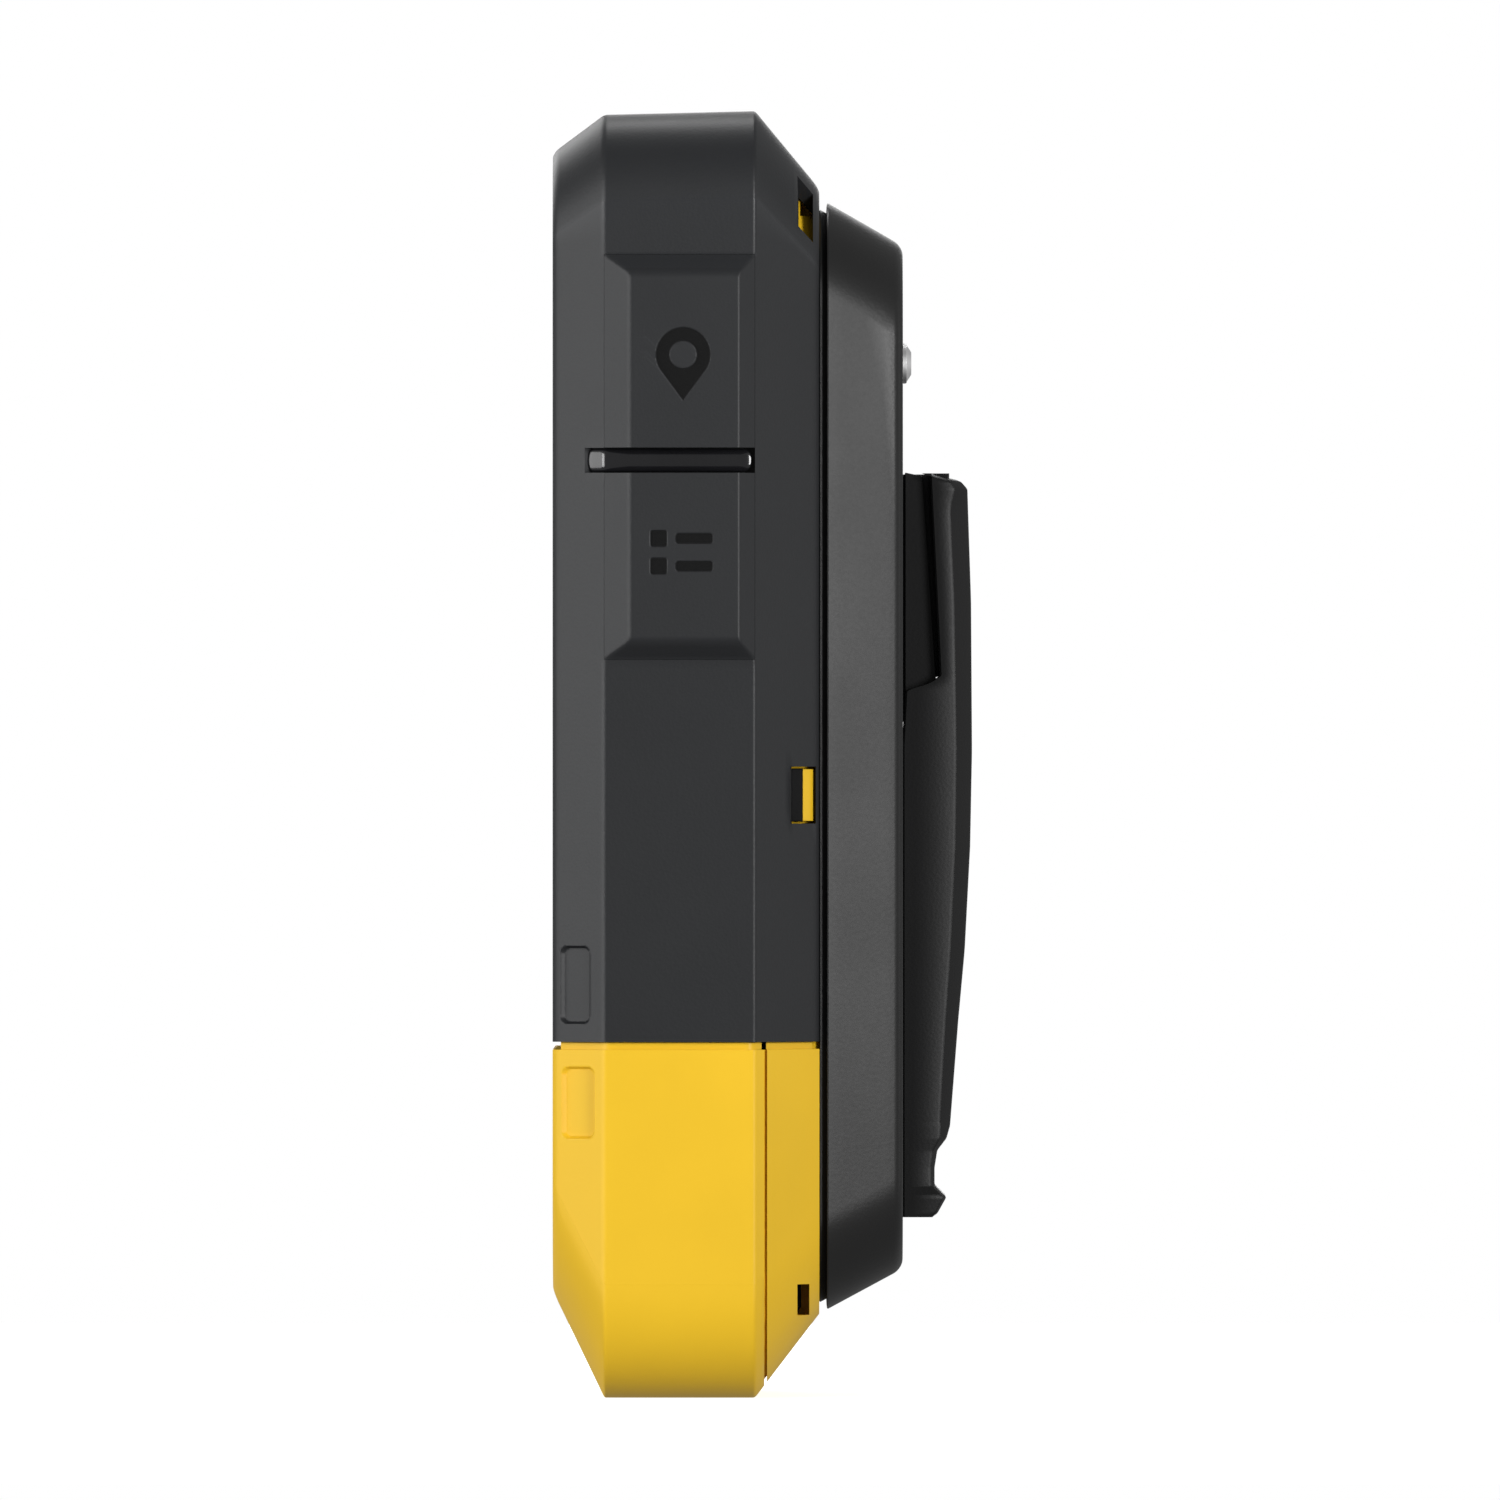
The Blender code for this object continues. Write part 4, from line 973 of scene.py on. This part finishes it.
def make_divider():
    """Glossy bar in the groove between the keys: it follows the bevel and the side, its face arched
    across and its ends round."""
    low, high = GROOVE_LOW + 0.12, GROOVE_HIGH - 0.12
    middle, half = (low + high) / 2, (high - low) / 2
    front, back, arch_high, sunk, inner_face, plain_height = 3.62, 21.75, 0.30, 0.62, 31.6, 60.0
    along = spaced(front, 0.08, 4.6, 0.12, 6.6, 0.5, 20.6, 0.08, back)
    across = np.sin(np.linspace(-math.pi / 2, math.pi / 2, 19))
    end = np.minimum(along - front, back - along)
    narrow = np.sqrt(1 - np.clip(1 - end / 1.0, 0, 1) ** 2) * 0.999 + 0.001
    height = middle + across[:, None] * half * narrow[None, :]
    arch = arch_high * np.sqrt(np.maximum(1 - across[:, None] ** 2, 0)) * narrow[None, :]
    surface = side_reach(along, np.full_like(along, plain_height)) - sunk
    outer = world(surface[None, :] + arch, along[None, :], height)
    inner = world(inner_face + 0 * arch, along[None, :], height)
    fit(sheet_solid("divider_bar", outer, inner), "casing", "gloss_black", "key_divider")
    shelf_width, shelf_thick = 33.3, 1.2
    shelf_depths = spaced(4.4, 1.0, PAD_BACK + 0.8)
    shelf_heights = np.array([GROOVE_LOW - 0.6, GROOVE_HIGH + 0.6])
    shelf = world(shelf_width, shelf_depths[None, :], shelf_heights[:, None])
    under = shelf - np.array([shelf_thick * MM, 0, 0])
    fit(sheet_solid("groove_floor", shelf, under), "casing", "black_plastic")


def make_zoom_key(name, body, node, side, sign):
    """Front key: a low cushion over width and height whose face falls away at its edges, sunk at its sign."""
    middle, level = side * (ZOOM_NEAR + ZOOM_FAR) / 2, (ZOOM_LOW + ZOOM_HIGH) / 2
    half_width, half_height = (ZOOM_FAR - ZOOM_NEAR) / 2, (ZOOM_HIGH - ZOOM_LOW) / 2
    rim = 1.2
    u_stops = (-half_width, 0.12, -half_width + rim, 0.6, -2.2, SIGN_STEP, 2.2, 0.6, half_width - rim, 0.12)
    v_stops = (-half_height, 0.12, rim - half_height, 0.3, -1.9, SIGN_STEP, 1.9, 0.3, half_height - rim, 0.12)
    u = spaced(*u_stops, half_width)
    v = spaced(*v_stops, half_height)
    grid_u, grid_v = np.meshgrid(u, v)
    mark = 1 - smooth_step(sign(grid_u, grid_v), -0.07, 0.07)
    edge = np.clip(-rounded_box(grid_u, grid_v, half_width, half_height, 1.0) / 0.9, 0, 1)
    depth = 0.12 + 0.55 * (1 - np.sqrt(1 - (1 - edge) ** 2)) + SIGN_DEEP * mark
    outer = world(middle + grid_u, depth, level + grid_v)
    inner = world(middle + grid_u, 2.9, level + grid_v)
    fit(sheet_solid(name, outer, inner, mark=mark), body, "key_grey", node)


# ---- display ----


def rounded_loop(half, low, high, low_radius, high_radius, steps=12, straight=1):
    """Closed loop of (width, height) round an upright rounded rectangle, with quarter circle corners."""
    turn = np.linspace(0, math.pi / 2, steps)
    corners = (
        (half - low_radius, low + low_radius, low_radius, -math.pi / 2),
        (half - high_radius, high - high_radius, high_radius, 0.0),
        (high_radius - half, high - high_radius, high_radius, math.pi / 2),
        (low_radius - half, low + low_radius, low_radius, math.pi),
    )
    arcs = [np.stack([w + r * np.cos(turn + a), h + r * np.sin(turn + a)], axis=-1) for w, h, r, a in corners]
    runs = []
    for arc, following in zip(arcs, arcs[1:] + arcs[:1]):
        share = np.linspace(0, 1, straight + 1)[1:-1, None]
        runs += [arc, arc[-1] + share * (following[0] - arc[-1])]
    return np.concatenate(runs)


def plate_rings(profile, half, low, high, low_radius, high_radius, **steps):
    """Rings of a rounded plate: its outline moved in by each inset of the profile, at each depth of it."""
    rings = []
    for inset, depth in profile:
        radii = (max(low_radius - inset, 0.2), max(high_radius - inset, 0.2))
        loop = rounded_loop(half - inset, low + inset, high - inset, *radii, **steps)
        rings.append(world(loop[:, 0], depth, loop[:, 1]))
    return rings


def quarter(count=6):
    """(in, up) pairs of a quarter circle of radius 1, from its upright side to its level top."""
    turn = np.linspace(0, math.pi / 2, count)
    return [(1 - math.cos(a), math.sin(a)) for a in turn]


def make_lens():
    """Display lens: a glass plate with its front edge ground round."""
    profile = [(0.0, 1.6)] + [(0.35 * i, 0.72 - 0.35 * up) for i, up in quarter()]
    fit(carried("display_window", plate_rings(profile, **LENS), 30), "casing", "lens_glass", "display_lens")


# ---- battery cover ----


def cover_ring(depth, inset):
    """The cover's outline at a depth: its base and rim sizes mixed by depth, moved in by inset."""
    share = (depth - COVER_FRONT) / (COVER_BACK - COVER_FRONT)
    half, low, high = (a + (b - a) * share for a, b in zip(COVER_BASE, COVER_RIM))
    radius = max(COVER_CORNER - inset, 0.3)
    loop = rounded_loop(half - inset, low + inset, high - inset, radius, radius, steps=20, straight=8)
    return loop, world(loop[:, 0], depth, loop[:, 1])


def make_cover():
    """Battery cover: from the inside of its roof down its inner wall, round the rim, up the drafted
    outside, over a rounded back edge, across the back face and down into the lock's counterbore."""
    radius, lip = 1.0, 1.2
    sections = [
        (COVER_BACK - COVER_WALL, 2.4),
        (COVER_BACK - COVER_WALL - 0.5, COVER_WALL),
        (COVER_LIP + 0.1, COVER_WALL),
        (COVER_LIP, COVER_WALL - 0.1),
        (COVER_LIP, lip + 0.15),
        (COVER_LIP + 0.1, lip),
        (COVER_FRONT + 0.5, lip),
        (COVER_FRONT + 0.55, 0.1),
        (COVER_FRONT + 0.7, 0.0),
        (33.5, 0.0),
        (36.0, 0.0),
    ]
    sections += [(COVER_BACK - radius + radius * up, radius * i) for i, up in quarter(8)]
    rings = [cover_ring(depth, inset)[1] for depth, inset in sections]
    bore_radius, bore_edge, bore_deep = 2.5, 0.25, 0.7
    edge = cover_ring(COVER_BACK, radius)[0]
    away = edge - np.array([0.0, LOCK_HEIGHT])
    bore = bore_radius * away / np.hypot(away[:, :1], away[:, 1:])
    hole = bore + np.array([0.0, LOCK_HEIGHT])
    for share in (0.06, 0.3, 0.7, 0.94):
        spot = edge + (hole - edge) * share
        rings.append(world(spot[:, 0], COVER_BACK, spot[:, 1]))
    for i, up in quarter(4):
        spot = hole + bore / bore_radius * (bore_edge - bore_edge * up)
        rings.append(world(spot[:, 0], COVER_BACK - bore_edge * i, spot[:, 1]))
    for spot in (hole, hole - bore * 0.2):
        rings.append(world(spot[:, 0], COVER_BACK - bore_deep, spot[:, 1]))
    fit(carried("pack_shell", rings, 30), "cover", "cover_grey", "battery_cover")


# ---- belt clip ----

# Lines up the clip as (height, depth), and the chamfer as (height, size)
SPINE = (
    (19.5, 41.3), (19.9, 41.9), (21.7, 42.9), (23.0, 41.6), (24.9, 41.6), (26.8, 41.9), (28.1, 42.9),
    (29.5, 43.3), (41.0, 44.2), (48.6, 44.9), (60.0, 45.5), (70.4, 45.7), (86.7, 45.6), (99.0, 45.2),
    (99.9, 44.4), (100.7, 41.2),
)
CHEEK_EDGE = (
    (19.5, 38.14), (71.0, 38.14), (77.0, 38.45), (77.8, 41.0), (78.6, 42.2), (100.7, 41.1),
)
CHANNEL = (
    (25.0, 40.0), (29.0, 41.2), (41.0, 42.5), (48.6, 43.2), (60.0, 43.7), (75.0, 43.8), (90.0, 43.5),
    (98.2, 43.2),
)
CHAMFER = (
    (19.5, 0.3), (22.0, 0.5), (27.0, 0.6), (30.0, 1.3), (48.6, 1.7), (77.5, 1.9), (97.0, 2.1),
    (100.7, 1.0),
)


def along_clip(line, height):
    """A line's depth at each height, smoothed by the mean of its neighbours so that its bends are round."""
    levels, values = zip(*line)
    near = 0.12
    return sum(np.interp(height + shift, levels, values) for shift in (-near, 0.0, near)) / 3


def make_lever():
    """Clip lever: a channel section carried up the spine. Each section runs from the middle of the back
    over the chamfer, down the cheek's outside, round its edge, up its inside and along the web."""
    web_low, web_high, wall_front, step = 25.0, 98.2, 43.2, 0.01
    rows = merged_stops(
        spaced(19.5, 0.15, 30.0, 1.0, 76.0, 0.2, 79.5, 1.0, 97.4, 0.15, 100.7),
        [web_low - step, web_low + step, web_high - step, web_high + step],
    )
    back = along_clip(SPINE, rows)
    edge = along_clip(CHEEK_EDGE, rows)
    web = np.interp(rows, *zip(*CHANNEL))
    solid = (rows <= web_low) | (rows >= web_high)
    top_front = np.where(rows >= web_high, wall_front, edge)
    web = np.where(solid, np.maximum(top_front, edge + 0.02), web)
    flare = np.interp(rows, *zip(*CHAMFER))
    inner = CLIP_HALF - CHEEK
    soft = 0.18
    section = [
        (0.0, back),
        (CLIP_HALF - 5.0, back),
        (CLIP_HALF - 1.6 * flare - soft, back),
        (CLIP_HALF - 1.6 * flare + soft, back - 2 * soft * 0.4),
        (CLIP_HALF - soft * 0.9, back - flare + soft * 0.9),
        (CLIP_HALF + 0 * flare, back - flare - soft),
        (CLIP_HALF + 0 * flare, edge + 0.25 * (back - flare - edge)),
        (CLIP_HALF + 0 * flare, edge + soft),
        (CLIP_HALF - soft, edge),
        (inner + soft, edge),
        (inner + 0 * flare, np.minimum(edge + soft, web)),
        (inner + 0 * flare, np.maximum(web - soft, edge + 0.01)),
        (inner - soft, web),
        (0.0, web),
    ]
    width = np.stack([np.broadcast_to(w, rows.shape) for w, _ in section])
    depth = np.stack([np.broadcast_to(d, rows.shape) for _, d in section])
    right = world(width, depth, rows[None, :])
    loop = np.concatenate([right, right[-2:0:-1] * np.array([-1, 1, 1])])
    lever = carried("clip_arm", loop.transpose(1, 0, 2), 32)
    fit(lever, "clip", "black_plastic", "clip_lever")


# ---- everything else ----

KEPT = {
    "board_green": ("main_board", "left_key_board", "right_key_board"),
    "black_plastic": ("battery_tray", "mid_frame", "speaker"),
    "bright_metal": (
        "case_screw_1", "case_screw_2", "case_screw_3", "case_screw_4", "cell_contact_plate", "clip_pin",
        "clip_screw_1", "clip_screw_2", "display_frame", "menu_switch", "power_switch", "processor_can",
        "radio_can", "usb_socket", "waypoint_switch", "zoom_in_switch", "zoom_out_switch",
    ),
    "spring_steel": ("cell_spring_left", "cell_spring_middle", "cell_spring_right", "clip_spring"),
    "cell_wrap": ("cell_left", "cell_middle", "cell_right"),
    "rubber": ("cover_seal", "housing_seal", "lens_gasket"),
    "ceramic": ("gps_antenna",),
    "display_glass": ("lcd_panel",),
    "brass": ("lock_receptacle",),
}


def dress_kept_nodes():
    for slot, names in KEPT.items():
        for name in names:
            dress(frame["nodes"][name], FINISHES[slot])


def make_clip_pad():
    """Rubber pad under the clip's base, up to the lever's cheeks. The lever squeezes it."""
    half, front, edge = 8.6, 38.0, 0.3
    rows = spaced(73.6, 0.5, 100.6)
    rings = []
    for row in rows:
        back = np.interp(row, (77.6, 78.6, 98.0, 100.6), (38.9, 42.25, 41.22, 41.05))
        widths = np.array([-half, half, half, half - edge, edge - half, -half])
        depths = np.array([front, front, back - edge, back, back, back - edge])
        rings.append(world(widths, depths, row))
    pad = fit(carried("clip_pad", rings), "cover", "rubber")
    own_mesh(pad)


def make_refined():
    fit(refined("rear_shell", "rear_housing", 0.3, 40), "casing", "housing_yellow", "rear_housing")
    fit(refined("clip_block", "clip_base", 0.3), "cover", "black_plastic", "clip_base")
    stud = fit(refined("lock_stud", "cover_lock", 0.12, 40), "lock", "bright_metal", "cover_lock")
    dress(stud, FINISHES["stud_metal"])


# ---- studio ----

AIM = (0.0, 0.0, 0.07)
FLOOR_HALF = 0.5
FLOOR_GLOW = 0.75
DIM_LIGHT = 0.31
SOFTBOXES = (
    # name, azimuth, elevation, distance, (width, height), power
    ("bevel_box", -71, 3, 1.4, (1.1, 0.9), 9.8),
    ("left_box", -45, 2, 1.5, (0.5, 0.9), 11.0),
    ("pack_box", 35, 2, 1.5, (0.4, 0.8), 19.5),
    ("rear_box", 95, 4, 1.5, (0.3, 0.8), 1.5),
    ("top_box", 180, 60, 1.4, (0.6, 0.3), 5.0),
    ("far_box", -150, 20, 1.6, (0.8, 0.8), 7.0),
    ("back_box", 175, 15, 1.6, (0.5, 0.8), 3.0),
)


def stage_surface(name, points, faces, colour):
    """Matt studio surface with a faint cloud in it."""
    obj, _ = mesh_object(name, np.array(points, float), [np.array(faces)])
    finish = Finish(name)
    cloud = finish.noise(60, 2)
    finish.shader.inputs["Emission Color"].default_value = rgb(1, 1, 1)
    finish.shader.inputs["Emission Strength"].default_value = FLOOR_GLOW
    dress(obj, finish.paint(finish.between(cloud, shade(colour, 0.99), colour), 0.95))
    obj.visible_diffuse = False
    obj.visible_glossy = False


def softbox(name, place, size, power, aim=AIM):
    """Rectangular area light facing the object."""
    light = bpy.data.lights.new(name, "AREA")
    light.shape = "RECTANGLE"
    light.size, light.size_y = size
    light.energy = power
    obj = bpy.data.objects.new(name, light)
    bpy.context.scene.collection.objects.link(obj)
    obj.location = place
    obj.rotation_euler = (Vector(aim) - Vector(place)).to_track_quat("-Z", "Y").to_euler()


def around(azimuth, elevation, distance):
    """A place in metres: an angle from +X towards +Y, one above the ground, and a distance from the aim."""
    turn, lift = math.radians(azimuth), math.radians(elevation)
    level = distance * math.cos(lift)
    return (level * math.cos(turn), level * math.sin(turn), AIM[2] + distance * math.sin(lift))


def make_backdrop():
    """World that the camera sees as white, and that lights the object only dimly."""
    surroundings = bpy.data.worlds.new("studio")
    bpy.context.scene.world = surroundings
    surroundings.use_nodes = True
    tree = surroundings.node_tree
    background = tree.nodes["Background"]
    seen = tree.nodes.new("ShaderNodeLightPath")
    strength = tree.nodes.new("ShaderNodeMapRange")
    strength.inputs["To Min"].default_value = DIM_LIGHT
    strength.inputs["To Max"].default_value = 1.0
    tree.links.new(seen.outputs["Is Camera Ray"], strength.inputs["Value"])
    tree.links.new(strength.outputs["Result"], background.inputs["Strength"])
    background.inputs["Color"].default_value = (1, 1, 1, 1)


def make_studio():
    make_backdrop()
    half = FLOOR_HALF
    corners = [(-half, -half, 0), (half, -half, 0), (half, half, 0), (-half, half, 0)]
    stage_surface("studio_floor", corners, [[0, 1, 2, 3]], rgb(0.86, 0.86, 0.86))
    for name, azimuth, elevation, distance, size, power in SOFTBOXES:
        softbox(name, around(azimuth, elevation, distance), size, power)


def make_camera():
    camera = bpy.data.cameras.new("camera")
    camera.lens, camera.sensor_width = 900.0, 36.0
    camera.clip_start, camera.clip_end = 0.05, 50.0
    obj = bpy.data.objects.new("camera", camera)
    bpy.context.scene.collection.objects.link(obj)
    seen_width, plane, along, height = 0.1630, 0.03, -0.0014, 0.0705
    obj.location = (plane + seen_width * camera.lens / camera.sensor_width, along, height)
    obj.rotation_euler = (math.pi / 2, 0, math.pi / 2)
    bpy.context.scene.camera = obj
    bpy.context.scene.view_settings.view_transform = "Standard"


FINISHES = make_finishes()
make_camera()
make_studio()
make_sleeve()
make_front_housing()
make_side_keys()
make_divider()
make_zoom_key("zoom_out_cap", "zoom_out", "zoom_out_key", -1, minus_sign)
make_zoom_key("zoom_in_cap", "zoom_in", "zoom_in_key", 1, plus_sign)
make_lens()
make_cover()
make_lever()
make_clip_pad()
make_backings()
make_refined()
dress_kept_nodes()
